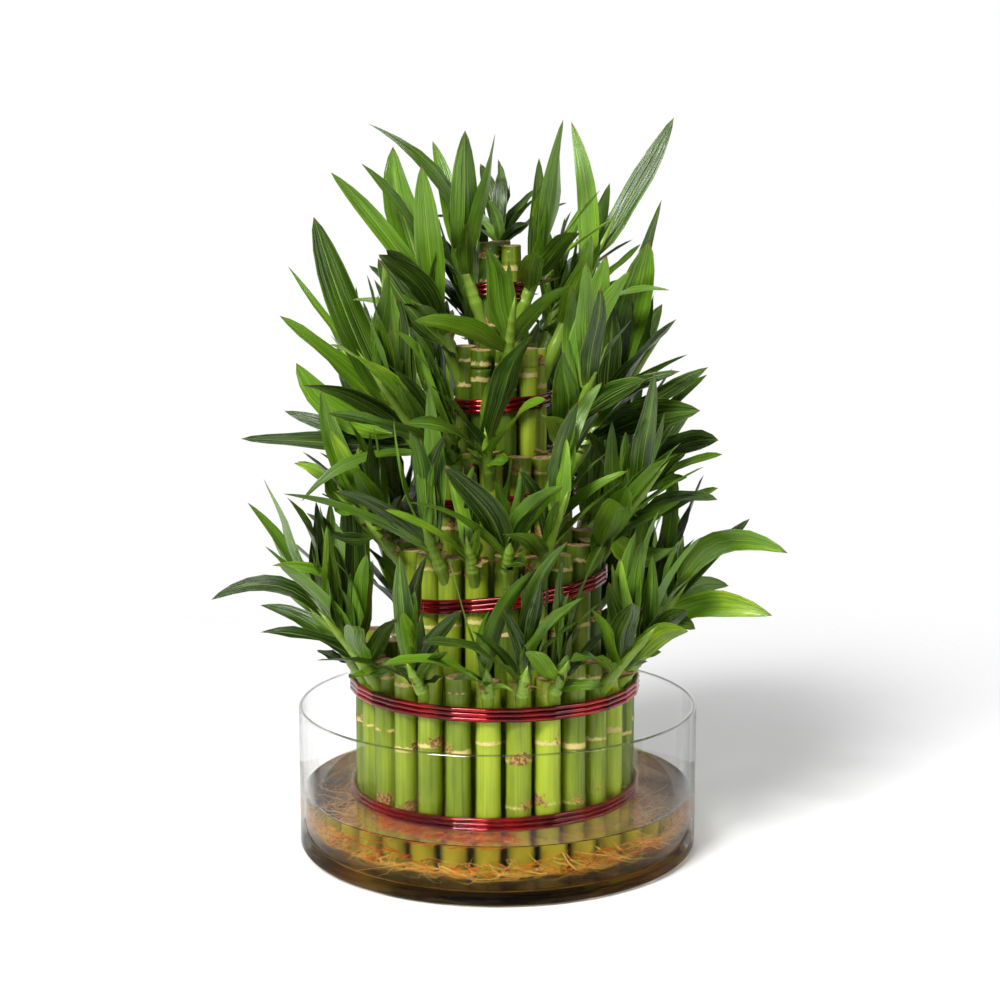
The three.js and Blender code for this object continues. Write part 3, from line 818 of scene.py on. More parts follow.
@dataclass(frozen=True)
class GlassFinish(Finish):
    """Clear glass with painted shade at its sides and rim, a painted reflection of dark brown and
    pale streaks in the thick base, and a brown stain low down.

    Heights and reaches are in millimetres.
    """

    name: str = "glass_clear"
    clear: Colour = (0.995, 0.992, 0.985, 1.0)
    # Painted shade: the dark grey of the glass at its sides, where it turns away from view.
    edge: Colour = (0.3, 0.31, 0.28, 1.0)
    # Painted shade: the grey line along the rim.
    rim: Colour = (0.6, 0.61, 0.58, 1.0)
    stain: Colour = (0.5, 0.37, 0.26, 1.0)
    # Painted reflection: dark brown with pale streaks in the outer ring of the thick base.
    base: Colour = (0.045, 0.028, 0.01, 1.0)
    streak: Colour = (0.74, 0.58, 0.34, 1.0)
    rim_range: Range = (71.0, 71.8)
    base_range: Range = (6.2, 6.7)
    ring_range: Range = (64.0, 84.0)
    streak_scale: Axes = (42.0, 42.0, 600.0)
    streak_range: Range = (0.43, 0.64)
    side_shade_range: Range = (0.66, 1.0)
    smear_scale: Axes = (30.0, 30.0, 60.0)
    smear_depth: float = 40.0
    stain_range: Range = (20.0, 40.0)
    wall_cover: float = 0.14
    thick_cover: float = 0.8

    def build(self, nodes: Nodes) -> bpy.types.Material:
        """Builds the material."""
        height = nodes.part(nodes.place, "Z")
        rim = nodes.between_lengths(height, self.rim_range)
        # Painted reflection in the outer ring of the thick base: dark brown with pale streaks.
        base = nodes.rest(nodes.between_lengths(height, self.base_range))
        ring = nodes.between_lengths(nodes.distance(nodes.place), self.ring_range)
        base = nodes.times(base, ring)
        streaks = nodes.noise(nodes.place, self.streak_scale)
        thick = nodes.blend(nodes.between(streaks, *self.streak_range), self.base, self.streak)
        # Painted shade at the glass's sides, where it turns away from view.
        side = nodes.between(nodes.facing(), *self.side_shade_range)
        smears = nodes.noise(nodes.place, self.smear_scale)
        low = nodes.times_plus(smears, -self.smear_depth * MM, height)
        stained = nodes.between_lengths(low, self.stain_range)
        tint = nodes.blend(side, self.clear, nodes.blend(stained, self.stain, self.edge))
        # Painted shade along the rim.
        tint = nodes.blend(rim, tint, self.rim)
        nodes.set("Base Color", nodes.blend(base, tint, thick))
        cover = nodes.larger(nodes.larger(rim, side), base)
        nodes.set("Alpha", nodes.times_plus(cover, self.thick_cover, self.wall_cover))
        nodes.set("Roughness", 0.0)
        nodes.set("Transmission Weight", 1.0)
        nodes.set("IOR", 1.06)
        nodes.set("Metallic", nodes.times(rim, 0.45))
        nodes.set("Coat Weight", nodes.times_plus(rim, 0.9, 0.06))
        nodes.set("Coat Roughness", 0.0)
        return nodes.material


@dataclass(frozen=True)
class WaterFinish(Finish):
    """Amber water over a brown sediment, with a clear level top under a faint painted reflection,
    and the faintest ripple.
    """

    name: str = "water_amber"
    tint: Colour = (0.96, 0.9, 0.62, 1.0)
    deep: Colour = (0.82, 0.7, 0.34, 1.0)
    amber: Colour = (0.5, 0.32, 0.08, 1.0)
    sediment: Colour = (0.36, 0.25, 0.09, 1.0)
    # Painted reflection: the pale colour of the level top.
    top: Colour = (0.97, 0.965, 0.94, 1.0)
    highlight: Colour = (0.3, 0.3, 0.3, 1.0)
    cloud_scale: float = 26.0
    cloud_range: Range = (0.3, 0.7)
    level_range: Range = (0.6, 0.9)
    turned_range: Range = (0.35, 0.95)
    sediment_swell: float = 6.0
    sediment_range: Range = (6.5, 12.5)
    surface_cover: float = 0.5
    surface_painted_reflection: float = 0.07
    painted_reflection_scale: float = 34.0
    painted_reflection_range: Range = (0.35, 0.7)
    ripple_scale: float = 60.0

    def build(self, nodes: Nodes) -> bpy.types.Material:
        """Builds the material."""
        cloud = nodes.noise(nodes.place, self.cloud_scale, 2.0)
        surface = nodes.between(nodes.level(), *self.level_range)
        body = nodes.blend(nodes.between(cloud, *self.cloud_range), self.tint, self.deep)
        body = nodes.blend(nodes.between(nodes.facing(), *self.turned_range), body, self.amber)
        rise = nodes.times_plus(cloud, -self.sediment_swell * MM, nodes.part(nodes.place, "Z"))
        clear = nodes.between_lengths(rise, self.sediment_range)
        body = nodes.blend(clear, self.sediment, body)
        nodes.set("Base Color", nodes.blend(surface, body, self.top))
        nodes.set("Roughness", 0.0)
        # Painted reflection: a pale share of the level top scatters light in patches.
        painted_reflection = nodes.between(nodes.noise(nodes.place, self.painted_reflection_scale), *self.painted_reflection_range)
        painted_reflection = nodes.times_plus(painted_reflection, self.surface_painted_reflection, self.surface_painted_reflection)
        nodes.set("Transmission Weight", nodes.rest(nodes.times(surface, painted_reflection)))
        nodes.set("IOR", 1.333)
        nodes.set("Specular Tint", self.highlight)
        nodes.set("Coat Weight", surface)
        nodes.set("Coat Roughness", 0.0)
        nodes.set("Coat IOR", 2.0)
        nodes.set("Alpha", nodes.times_plus(surface, self.surface_cover - 1, 1.0))
        ripple = nodes.noise(nodes.place, self.ripple_scale, 1.0)
        nodes.bump(ripple, depth=0.4, strength=0.15)
        return nodes.material


@dataclass(frozen=True)
class FloorFinish(Finish):
    """Plain pale floor, which fades into the surroundings away from the bowl."""

    name: str = "floor_pale"
    pale: Colour = colour(250, 250, 250)
    paler: Colour = colour(254, 254, 254)
    mottle_scale: float = 3.0
    fade_range: Range = (0.25, 0.7)

    def build(self, nodes: Nodes) -> bpy.types.Material:
        """Builds the material."""
        mottle = nodes.noise(nodes.place, self.mottle_scale)
        nodes.set("Base Color", nodes.blend(mottle, self.pale, self.paler))
        nodes.set("Roughness", 0.7)
        far = nodes.between(nodes.distance(nodes.place), *self.fade_range)
        nodes.set("Alpha", nodes.rest(far))
        return nodes.material


@dataclass(frozen=True)
class Band:
    """One band of wire: its height, and how far it rises from left to right over its own width."""

    height: float
    tilt: float


@dataclass(frozen=True)
class Tier:
    """One ring of canes, in millimetres, with the shoots that grow from it.

    A shoot has its cane's number, how far below the cane's top it starts, its reach and rise,
    and the number and length of its leaves. The outline gives, by a shoot's number, its leaves
    that are placed one by one: the tip's x, y and z, the root's share of the stem, and the
    blade's bow, width and roll.
    """

    name: str
    canes: int
    ring: float
    radius: float
    centre: float
    azimuth: float
    top: float
    spread: float
    nodes: tuple[float, ...]
    bands: tuple[Band, ...]
    shoots: Rows
    outline: dict = field(default_factory=dict)

    @property
    def middle(self) -> np.ndarray:
        """Returns the middle of the ring, at height 0."""
        return np.array([self.centre, 0.0, 0.0])

    def facing(self, cane: int) -> float:
        """Returns the azimuth that a cane faces."""
        return self.azimuth + (360 / self.canes) * cane

    def foot(self, cane: int) -> np.ndarray:
        """Returns the middle of a cane, at height 0."""
        return self.middle + self.ring * outward(self.facing(cane))


TIERS = (
    Tier(
        "tier1", 28, 64, 6.4, -1.5, -2.5, 100, 5, (64,), (Band(30, 1), Band(83, -2)),
        (
            (0, 8.5, 8, 12, 4, 58), (1, 8.5, 9, 12, 4, 60), (2, 8.5, 10, 13, 4, 62),
            (4, 8.5, 12, 14, 5, 66), (5, 8.5, 14, 16, 4, 68), (7, 8.5, 20, 34, 2, 68),
            (9, 8.5, 16, 18, 4, 70), (11, 8.5, 16, 16, 4, 70), (13, 8.5, 16, 16, 4, 70),
            (15, 8.5, 16, 16, 4, 70), (17, 8.5, 16, 16, 4, 70), (19, 8.5, 16, 20, 4, 70),
            (21, 8.5, 20, 26, 2, 70), (23, 8.5, 14, 20, 4, 66), (24, 8.5, 12, 16, 4, 62),
            (26, 8.5, 10, 12, 4, 60),
        ),
        {
            5: (
                (145, 0, 147, 1, 18, 14, 60), (127, -16, 163, 0.9, 3, 9, 60),
                (118, 12, 127, 0.8, 8, 10, 60), (133, -12, 122, 0.6, 10, 15, 60),
                (89, -14, 156, 0.5, 4, 15, 50),
            ),
            6: ((90, 30, 186, 1, -4, 14, 40),),
            12: (
                (-143, -4, 124, 0.7, 16, 11, -60), (-125, 14, 172, 0.8, 5, 9, -60),
                (-109, -10, 192, 1, 1, 21, -60), (-117, 4, 153, 0.5, 5, 11, -60),
                (-85, 12, 152, 0.4, -3, 14, -40),
            ),
            13: ((-107, -30, 149, 0.9, 17, 10, -50),),
            14: ((-77, -66, 156, 0.9, 12, 16, -50),),
        },
    ),
    Tier(
        "tier2", 20, 45.2, 6.2, 1.2, 4, 154, 2.5, (118,), (Band(132, 11),),
        (
            (0, 8, 9, 14, 5, 68), (1, 8, 12, 18, 5, 70), (3, 8, 16, 22, 5, 72),
            (5, 8, 20, 30, 3, 72), (7, 8, 18, 22, 5, 72), (9, 8, 16, 22, 4, 70),
            (11, 8, 16, 22, 4, 70), (13, 8, 18, 22, 4, 72), (15, 8, 20, 22, 4, 72),
            (16, 8, 16, 20, 5, 72), (18, 8, 12, 18, 5, 70), (19, 8, 9, 14, 5, 68),
        ),
        {
            3: (
                (107, -20, 206, 1, 10, 21, 50), (107, -36, 201, 0.8, 7, 10, 50),
                (106, -30, 184, 0.6, 1, 15, 60), (43, -44, 213, 0.7, 1, 13, -40),
                (88, -50, 164, 0.3, -10, 18, 50),
            ),
            8: (
                (-84, -8, 188, 1, -4, 17, -50), (-104, 12, 189, 0.8, 8, 8, -50),
                (-87, -14, 174, 0.5, -9, 11, -50),
            ),
            9: ((-39, -40, 191, 0.8, -3, 11, 30),),
        },
    ),
    Tier(
        "tier3", 14, 30, 5.9, 1.8, -9, 200, 2.5, (165,), (Band(177, 7),),
        (
            (0, 9, 9, 16, 6, 70), (2, 9, 14, 26, 6, 72), (4, 8, 18, 28, 3, 72),
            (5, 8, 18, 26, 5, 72), (7, 8, 16, 22, 5, 72), (9, 8, 18, 26, 5, 72),
            (11, 8, 18, 26, 2, 72), (12, 8, 16, 24, 5, 74), (13, 9, 9, 20, 5, 72),
        ),
        {
            1: ((68, -56, 238, 0.9, 2, 18, 50),),
            2: (
                (74, 0, 301, 1, -1, 26, 65), (83, 12, 322, 0.9, 4, 9, 50),
                (83, -10, 270, 0.7, 3, 15, 60), (81, 10, 251, 0.6, 5, 10, 60),
                (102, 0, 241, 0.5, 1, 13, 60), (96, -22, 222, 0.3, 6, 20, 50),
            ),
            5: ((-68, 26, 272, 0.8, -7, 17, -30),),
            6: (
                (-89, -4, 313, 1, -3, 25, -65), (-104, 14, 289, 0.9, 1, 6, -60),
                (-104, -8, 266, 0.8, 2, 15, -60), (-99, 0, 242, 0.6, -8, 18, -60),
                (-107, 14, 217, 0.4, 0, 12, -50), (-125, -14, 206, 0.3, 2, 12, -60),
                (-79, 8, 259, 0.9, -10, 19, -40),
            ),
            7: ((-59, -44, 266, 1, -2, 19, -30), (-93, -40, 179, 0.3, 11, 7, -50)),
            8: ((-47, -60, 261, 0.8, 9, 15, -40),),
        },
    ),
    Tier(
        "tier4", 9, 17.9, 5.3, 1.5, 8, 251, 2, (234,), (Band(223, 2),),
        (
            (0, 9, 9, 14, 5, 58), (2, 9, 22, 50, 3, 62), (3, 9, 16, 34, 5, 64),
            (5, 9, 16, 30, 5, 64), (6, 9, 18, 34, 5, 64), (7, 9, 12, 32, 4, 64),
        ),
        {
            1: (
                (36, 10, 359, 0.8, 7, 11, -50), (56, -10, 330, 0.5, 3, 11, 50),
                (86, 0, 361, 1, -1, 13, 55), (68, -14, 300, 0.7, 1, 9, 60),
                (44, -20, 304, 0.4, 0, 14, 20),
            ),
            5: (
                (-80, -8, 334, 0.9, 3, 11, -60), (-51, 8, 347, 1, -6, 19, -50),
                (-65, -20, 338, 0.7, 10, 10, -50), (-35, -14, 336, 0.8, 1, 15, -20),
                (-58, -4, 293, 0.3, -2, 15, -60),
            ),
        },
    ),
    Tier(
        "tier5", 3, 6.3, 5.3, 1.2, -60, 301, 2, (261, 286), (Band(277, 0),),
        ((0, 33, 10, 24, 4, 60), (1, 33, 12, 24, 4, 60), (2, 7, 8, 10, 5, 42)),
        {
            0: (
                (-62, -8, 357, 0.5, 16, 12, -50), (-32, -14, 350, 0.8, 3, 11, -30),
                (-15, -18, 352, 1, -2, 14, 10), (-1, -10, 351, 0.9, -3, 12, 20),
            ),
            1: (
                (20, -14, 341, 0.6, -2, 9, 20), (31, -6, 358, 1, -1, 19, 30),
                (48, -30, 325, 0.5, 3, 10, 40),
            ),
        },
    ),
)
LOW_NODES = {"tier1": (36,), "tier2": (64,), "tier3": (112,), "tier4": (186,), "tier5": ()}


@dataclass(frozen=True)
class LeafHabit:
    """How one kind of young leaf grows: ranges of its angles, and of its length, width and bow."""

    aside: float
    steep: Range
    length: Range
    shrink: float
    width: Range
    bow: Range
    roll: float = 70


UPRIGHT = LeafHabit(95, (66, 88), (0.8, 1.2), 0.014, (0.15, 0.2), (-0.08, 0.12))
CLASPING = LeafHabit(120, (10, 80), (12, 28), 0.01, (0.28, 0.42), (-0.05, 0.2))


@dataclass(frozen=True)
class LeafRule:
    """How leaves are placed and shaped, in millimetres, degrees and shares of a length.

    The solids' leaves follow the same values. Those named drawn, more, extra, upright, clasping,
    withered, bare and slim are for the finer leaves and stems alone.
    """

    seed: int = 7
    extra_seed: int = 23
    narrowest: float = 0.1
    broadening: float = 3.8
    rows: int = 4
    spacing: float = 2.6
    tries: int = 48
    swing: float = 5
    fan_rounds: int = 6
    fan_start: float = 0.4
    fan_end: float = 0.97
    fan_free: float = 0.25
    fold: float = 0.22
    base_roll: float = 0.6
    leaf_gap: float = 4
    own_gap: float = 1.8
    extra_leaf_gap: float = 1.2
    extra_own_gap: float = 0.7
    extra_fans: int = 6
    cane_gap: float = 1.2
    wire_reach: float = 11
    wire: float = 2.5
    lowest: float = 80
    stem_radius: float = 4.6
    stem_taper: float = 0.35
    stem_bend: float = 0.9
    stem_rows: int = 6
    stem_sides: int = 4
    gap: float = 0.3
    drawn_bend: float = 0.34
    drawn_rise: float = 0.38
    stem_more: float = 1.6
    more_from: float = 1.1
    more_radius: float = 2.6
    more_rows: int = 8
    spear: float = 0.4
    extra_aside: float = 92
    extra_deep: float = 104
    extra_top: float = 345
    extra_slope: float = 0.9
    upright_from: float = 0.65
    clasping_leaves: int = 6
    clasping_share: Range = (0.05, 0.6)
    withered_share: float = 0.4
    withered_length: float = 0.62
    bare_aside: float = 17
    bare_from: float = 205
    bare_to: float = 318
    outline_slim: float = 0.95
    fan_slim: float = 0.76
    fan_spread: float = 60
    fan_gather: float = 44
    fan_wander: float = 16
    fan_widen: float = 0.12
    fan_flattest: float = 28
    fan_raise: float = 42
    fan_nod: float = 9
    fan_lift: float = 0.9
    fan_steepest: float = 84
    fan_length: Range = (0.82, 1.14)
    fan_shrink: float = 0.018
    fan_width: Range = (0.24, 0.3)
    fan_narrow: float = 0.012
    fan_bow: Range = (0.05, 0.14)
    fan_roll: float = 45


RULE = LeafRule()


@dataclass
class Bend:
    """A quadratic curve through the air."""

    start: np.ndarray
    middle: np.ndarray
    end: np.ndarray

    def at(self, along: np.ndarray) -> np.ndarray:
        """Returns the points at shares of the way."""
        t = np.asarray(along, dtype=float)[..., None]
        return self.start * (1 - t) ** 2 + self.middle * 2 * t * (1 - t) + self.end * t * t

    def ahead(self, along: np.ndarray) -> np.ndarray:
        """Returns the unit directions at shares of the way."""
        t = np.asarray(along, dtype=float)[..., None]
        return unit((self.middle - self.start) * (1 - t) + (self.end - self.middle) * t)


class Blade:
    """One leaf: where it starts, how it bends, and how its surface lies."""

    def __init__(
        self,
        base: np.ndarray,
        share: float,
        tip: np.ndarray,
        bow: float,
        width: float,
        roll: float,
        slim: float = 1.0,
    ) -> None:
        """Lays a blade from its stem to its tip.

        Args:
            base: Where it starts, on the stem's axis.
            share: How far up the stem that is.
            tip: Its tip.
            bow: How far its spine arches above the straight line.
            width: The greatest width that is kept free for it.
            roll: Its turn about its spine, in degrees.
            slim: Share of that width that the leaf itself has.
        """
        self.share = share
        self.slim = slim
        self.withered = False
        run = unit(np.array([tip[0] - base[0], tip[1] - base[1], 0.0]))
        self.side = np.array([-run[1], run[0], 0.0])
        lift = np.cross(unit(tip - base), self.side)
        self.bend = Bend(base, (base + tip) / 2 + lift * 2 * bow, tip)
        self.length = float(np.linalg.norm(tip - base))
        self.width = width
        self.roll = roll
        self.twist = 0.0

    def surface(
        self, along: np.ndarray, across: np.ndarray, raised: np.ndarray, outline: np.ndarray
    ) -> np.ndarray:
        """Returns points of the blade.

        Args:
            along: Shares of its length.
            across: From -1 at its left edge to 1 at its right edge.
            raised: How far above its middle surface, in millimetres.
            outline: Share of its width that it has at each point.

        Returns:
            The points, as rows of x, y and z.
        """
        ahead = self.bend.ahead(along)
        front = np.cross(ahead, self.side)
        turn = self.roll * (RULE.base_roll + (1 - RULE.base_roll) * along) + self.twist * along**2
        turn = np.radians(turn)[..., None]
        wide = self.side * np.cos(turn) + front * np.sin(turn)
        front = front * np.cos(turn) - self.side * np.sin(turn)
        half = (self.width / 2) * outline
        return self.bend.at(along) + wide * (across * half)[..., None] + front * raised[..., None]

    def test_points(self) -> tuple[np.ndarray, np.ndarray]:
        """Returns points spread over the blade of the solids, and their shares of its length."""
        steps = math.ceil(self.length / RULE.rows / RULE.spacing)
        columns = math.ceil(self.width / RULE.spacing)
        rows = np.arange(RULE.rows + 1) / RULE.rows
        across = 2 * np.arange(columns + 1) / columns - 1
        along, sideways = np.meshgrid(rows, across, indexing="ij")
        outline = (RULE.narrowest + RULE.broadening * along) * (1 - along)
        raised = RULE.fold * np.abs(sideways) * (self.width / 2) * outline
        corners = self.surface(along, sideways, raised, outline)
        share = np.arange(1, steps + 1) / steps
        low, high = corners[:-1, :, None, :], corners[1:, :, None, :]
        points = low + (high - low) * share[None, None, :, None]
        shares = (np.arange(RULE.rows)[:, None, None] + share[None, None, :]) / RULE.rows
        shares = np.broadcast_to(shares, points.shape[:3])
        return points.reshape(-1, 3), shares.reshape(-1)


class Shoot:
    """A leafy shoot: a stem that leaves a cane near its top, and the blades rooted along it."""

    def __init__(self, tier: Tier, number: int) -> None:
        """Lays the stem of one of a tier's shoots.

        Args:
            tier: The tier.
            number: The shoot's number in it, from 0.
        """
        cane, below, reach, rise, leaves, length = tier.shoots[number]
        self.azimuth = tier.facing(cane)
        # Painted shade: the inner tiers' canes take a darker tone range.
        away = outward(self.azimuth)
        out = tier.ring + tier.radius + RULE.gap
        start = np.array([tier.centre, 0, tier.top - below]) + away * out
        end = start + away * reach + UP * rise
        self.name = f"{tier.name}_shoot_{number + 1:02d}"
        self.side = outward(self.azimuth + 90)
        self.reach = reach
        self.bend = Bend(start, start + away * reach * RULE.stem_bend, end)
        knee = start + away * reach * RULE.drawn_bend + UP * rise * RULE.drawn_rise
        self.drawn = Bend(start, knee, end)
        self.top = 1.0
        self.leaves = leaves
        self.length = length
        self.outline = tier.outline.get(number, ())
        self.blades: list[Blade] = []

    def stem_point(
        self,
        bend: Bend,
        along: np.ndarray,
        across: np.ndarray,
        face: np.ndarray,
        radius: np.ndarray,
    ) -> np.ndarray:
        """Returns points round the stem.

        Args:
            bend: The curve it follows.
            along: Shares of its length.
            across: Part of the unit direction towards its side.
            face: Part of the unit direction towards the plant's middle.
            radius: The stem's radius at each point.

        Returns:
            The points, as rows of x, y and z.
        """
        inward = np.cross(bend.ahead(along), self.side)
        spoke = inward * face[..., None] + self.side * across[..., None]
        return bend.at(along) + spoke * radius[..., None]


class LeafPlan:
    """Places every leaf by the same seeded rule as the solids, and then some more between them."""

    def __init__(self, tiers: Sequence[Tier]) -> None:
        """Takes the places of all the stems.

        Args:
            tiers: The rings of canes.
        """
        self.tiers = tiers
        self.draw = Draws(RULE.seed)
        self.own_gap = RULE.own_gap
        self.leaf_gap = RULE.leaf_gap
        self.bounded = False
        self.blocks: list[tuple[np.ndarray, np.ndarray, Shoot]] = []
        self.lows = np.empty((0, 3))
        self.highs = np.empty((0, 3))
        self.shoots = [
            Shoot(tier, number) for tier in tiers[::-1] for number in range(len(tier.shoots))
        ]
        along = np.repeat(np.arange(1, RULE.stem_rows + 1) / RULE.stem_rows, RULE.stem_sides)
        turn = np.tile(2 * np.pi * np.arange(RULE.stem_sides) / RULE.stem_sides, RULE.stem_rows)
        radius = RULE.stem_radius * (1 - RULE.stem_taper * along)
        for shoot in self.shoots:
            points = shoot.stem_point(shoot.bend, along, np.cos(turn), np.sin(turn), radius)
            self.take(points, np.zeros(len(along)), shoot)

    def take(self, points: np.ndarray, along: np.ndarray, shoot: Shoot) -> None:
        """Marks the places of some points as taken.

        Args:
            points: The points.
            along: Each one's share of its leaf's length.
            shoot: The shoot they belong to.
        """
        self.blocks.append((points, along, shoot))
        self.lows = np.vstack([self.lows, points.min(0)])
        self.highs = np.vstack([self.highs, points.max(0)])

    def clear_of_canes(self, points: np.ndarray) -> bool:
        """Returns whether all the points keep clear of the canes and their wire.

        Args:
            points: The points of a leaf or stem.

        Returns:
            True if none is too close.
        """
        for tier in self.tiers:
            on_band = np.zeros(len(points), bool)
            for band in tier.bands:
                on_band |= np.abs(points[:, 2] - band.height) < RULE.wire_reach
            wall = tier.ring + tier.radius + np.where(on_band, RULE.wire, 0) + RULE.cane_gap
            distance = np.hypot(points[:, 0] - tier.centre, points[:, 1])
            above = points[:, 2] > tier.top + tier.spread + RULE.cane_gap
            if not np.all(above | (distance > wall)):
                return False
        return True

    def clear_of_shoots(self, points: np.ndarray, along: np.ndarray, shoot: Shoot) -> bool:
        """Returns whether the points keep clear of all shoots, and of their own above its foot.

        Args:
            points: The points of a leaf or stem.
            along: Each point's share of its length.
            shoot: The shoot it belongs to.

        Returns:
            True if none is too close.
        """
        low, high = points.min(0) - self.leaf_gap, points.max(0) + self.leaf_gap
        near = np.all((self.lows < high) & (self.highs > low), axis=1)
        for index in np.flatnonzero(near):
            others, other_along, owner = self.blocks[index]
            close = np.all((others > low) & (others < high), axis=1)
            if not close.any():
                continue
            others, other_along = others[close], other_along[close]
            apart = ((points[:, None, :] - others[None, :, :]) ** 2).sum(2)
            if owner is shoot:
                crowding = apart < self.own_gap**2
                crowding &= np.maximum(along[:, None], other_along[None, :]) >= RULE.fan_free
            else:
                crowding = apart < self.leaf_gap**2
            if crowding.any():
                return False
        return True

    def place(self, shoot: Shoot, wish: Callable[[int], Blade]) -> None:
        """Places the first blade of a run of tries that keeps clear of everything, if any does.

        Args:
            shoot: The shoot it grows from.
            wish: Gives the blade for each try.
        """
        for attempt in range(RULE.tries):
            blade = wish(attempt)
            if self.bounded and not self.inside(blade.bend.end):
                continue
            points, along = blade.test_points()
            if points[:, 2].min() <= RULE.lowest or not self.clear_of_canes(points):
                continue
            if self.bounded and self.before_top(points):
                continue
            if self.clear_of_shoots(points, along, shoot):
                self.take(points, along, shoot)
                shoot.blades.append(blade)
                return

    def place_outline_leaf(self, shoot: Shoot, row: tuple[float, ...]) -> None:
        """Places a leaf of the plant's outline. Its tip swings to the front or back to find room.

        Args:
            shoot: The shoot it grows from.
            row: Its tip's x, y and z, its root's share of the stem, and its bow, width and roll.
        """
        x, y, z, share, bow, width, roll = row

        def wish(attempt: int) -> Blade:
            """Returns the blade for one try."""
            swing = math.ceil(attempt / 2) * (1 if attempt % 2 else -1)
            tip = np.array([x, y + RULE.swing * swing, z], float)
            rooted = min(share, RULE.fan_end)
            base = shoot.bend.at(np.array(rooted))
            return Blade(base, rooted, tip, bow, width, roll, RULE.outline_slim)

        self.place(shoot, wish)

    def place_fan_leaf(self, shoot: Shoot, share: float, side: int) -> None:
        """Places a leaf of a fan: low ones spread wide and lie flat, high ones stand steep.

        Args:
            shoot: The shoot it grows from.
            share: How high it is in the fan, from 0 to 1.
            side: 1 or -1, the side it leans to.
        """

        def wish(attempt: int) -> Blade:
            """Returns the blade for one try."""
            wander = self.draw(-RULE.fan_wander, RULE.fan_wander) * (1 + RULE.fan_widen * attempt)
            spread = side * (RULE.fan_spread - RULE.fan_gather * share) + wander
            nod = self.draw(-RULE.fan_nod, RULE.fan_nod)
            steep = RULE.fan_flattest + RULE.fan_raise * share + nod + RULE.fan_lift * attempt
            steep = min(RULE.fan_steepest, steep)
            length = shoot.length * self.draw(*RULE.fan_length) * (1 - RULE.fan_shrink * attempt)
            width = length * self.draw(*RULE.fan_width) * (1 - RULE.fan_narrow * attempt)
            bow = length * self.draw(*RULE.fan_bow)
            roll = self.draw(-RULE.fan_roll, RULE.fan_roll)
            rooted = RULE.fan_start + (RULE.fan_end - RULE.fan_start) * share
            base = shoot.bend.at(np.array(rooted))
            tip = base + reaching(shoot.azimuth + spread, steep, length)
            return Blade(base, rooted, tip, bow, width, roll, RULE.fan_slim)

        self.place(shoot, wish)

    def run(self) -> None:
        """Places the solids' leaves: outline leaves first, and then the fans."""
        for shoot in self.shoots:
            for row in shoot.outline:
                self.place_outline_leaf(shoot, row)
        for leaf in range(RULE.fan_rounds):
            for shoot in self.shoots:
                if leaf < shoot.leaves:
                    share = leaf / (shoot.leaves - 1) if shoot.leaves > 1 else 0.5
                    self.place_fan_leaf(shoot, share, 1 if leaf % 2 else -1)

    def thicken(self) -> None:
        """Adds clasping, upright and fan leaves to every shoot that has room for them."""
        self.draw = Draws(RULE.extra_seed)
        self.own_gap, self.leaf_gap = RULE.extra_own_gap, RULE.extra_leaf_gap
        self.bounded = True
        for shoot in self.shoots:
            self.lengthen(shoot)
        for _ in range(RULE.clasping_leaves):
            for shoot in self.shoots:
                self.place_clasping_leaf(shoot)
        for leaf in range(RULE.extra_fans):
            for shoot in self.shoots:
                self.place_upright_leaf(shoot)
                share = (leaf + 0.5) / RULE.extra_fans
                self.place_fan_leaf(shoot, share, -1 if leaf % 2 else 1)

    def inside(self, tip: np.ndarray) -> bool:
        """Returns whether an added leaf's tip stays within the plant's outline.

        Args:
            tip: The tip.

        Returns:
            True if it stays within.
        """
        aside, deep = abs(tip[0]), abs(tip[1])
        low = tip[2] < RULE.extra_top - RULE.extra_slope * aside
        return low and deep < RULE.extra_deep and aside < RULE.extra_aside

    def before_top(self, points: np.ndarray) -> bool:
        """Returns whether any of the points would hide the bare top of the tower from the front.

        Args:
            points: The points of a leaf.

        Returns:
            True if one would.
        """
        x, y, z = points.T
        in_front = (np.abs(x) < RULE.bare_aside) & (y < 0)
        return bool(np.any(in_front & (z > RULE.bare_from) & (z < RULE.bare_to)))

    def lengthen(self, shoot: Shoot) -> None:
        """Lets a stem grow on upwards where there is room for it.

        Args:
            shoot: The shoot.
        """
        count = RULE.more_rows
        along = np.linspace(RULE.more_from, RULE.stem_more, count)
        radius = np.full(count, RULE.more_radius)
        points = np.vstack([
            shoot.stem_point(shoot.drawn, along, np.full(count, side), np.full(count, face), radius)
            for side, face in ((1, 0), (-1, 0), (0, 1), (0, -1))
        ])
        at_root = np.zeros(len(points))
        spear = shoot.drawn.at(np.array(RULE.stem_more + RULE.spear))
        free = self.clear_of_canes(points) and self.clear_of_shoots(points, at_root, shoot)
        if free and self.inside(spear):
            self.take(points, at_root, shoot)
            shoot.top = RULE.stem_more

    def young_leaf(
        self, shoot: Shoot, habit: LeafHabit, attempt: int, scale: float, rooting: Range
    ) -> Blade:
        """Returns a blade of a habit.

        Args:
            shoot: The shoot it grows from.
            habit: How it grows.
            attempt: The number of tries before it.
            scale: What the habit's lengths are shares of.
            rooting: Lowest and highest share of the stem where it may start.

        Returns:
            The blade.
        """
        heading = shoot.azimuth + self.draw(-habit.aside, habit.aside)
        steep = self.draw(*habit.steep)
        length = self.draw(*habit.length) * scale * (1 - habit.shrink * attempt)
        width = length * self.draw(*habit.width)
        bow = length * self.draw(*habit.bow)
        roll = self.draw(-habit.roll, habit.roll)
        rooted = self.draw(*rooting)
        base = shoot.drawn.at(np.array(rooted))
        return Blade(base, rooted, base + reaching(heading, steep, length), bow, width, roll)

    def place_clasping_leaf(self, shoot: Shoot) -> None:
        """Places a short leaf that clasps the stem low down, and may be withered.

        Args:
            shoot: The shoot it grows from.
        """

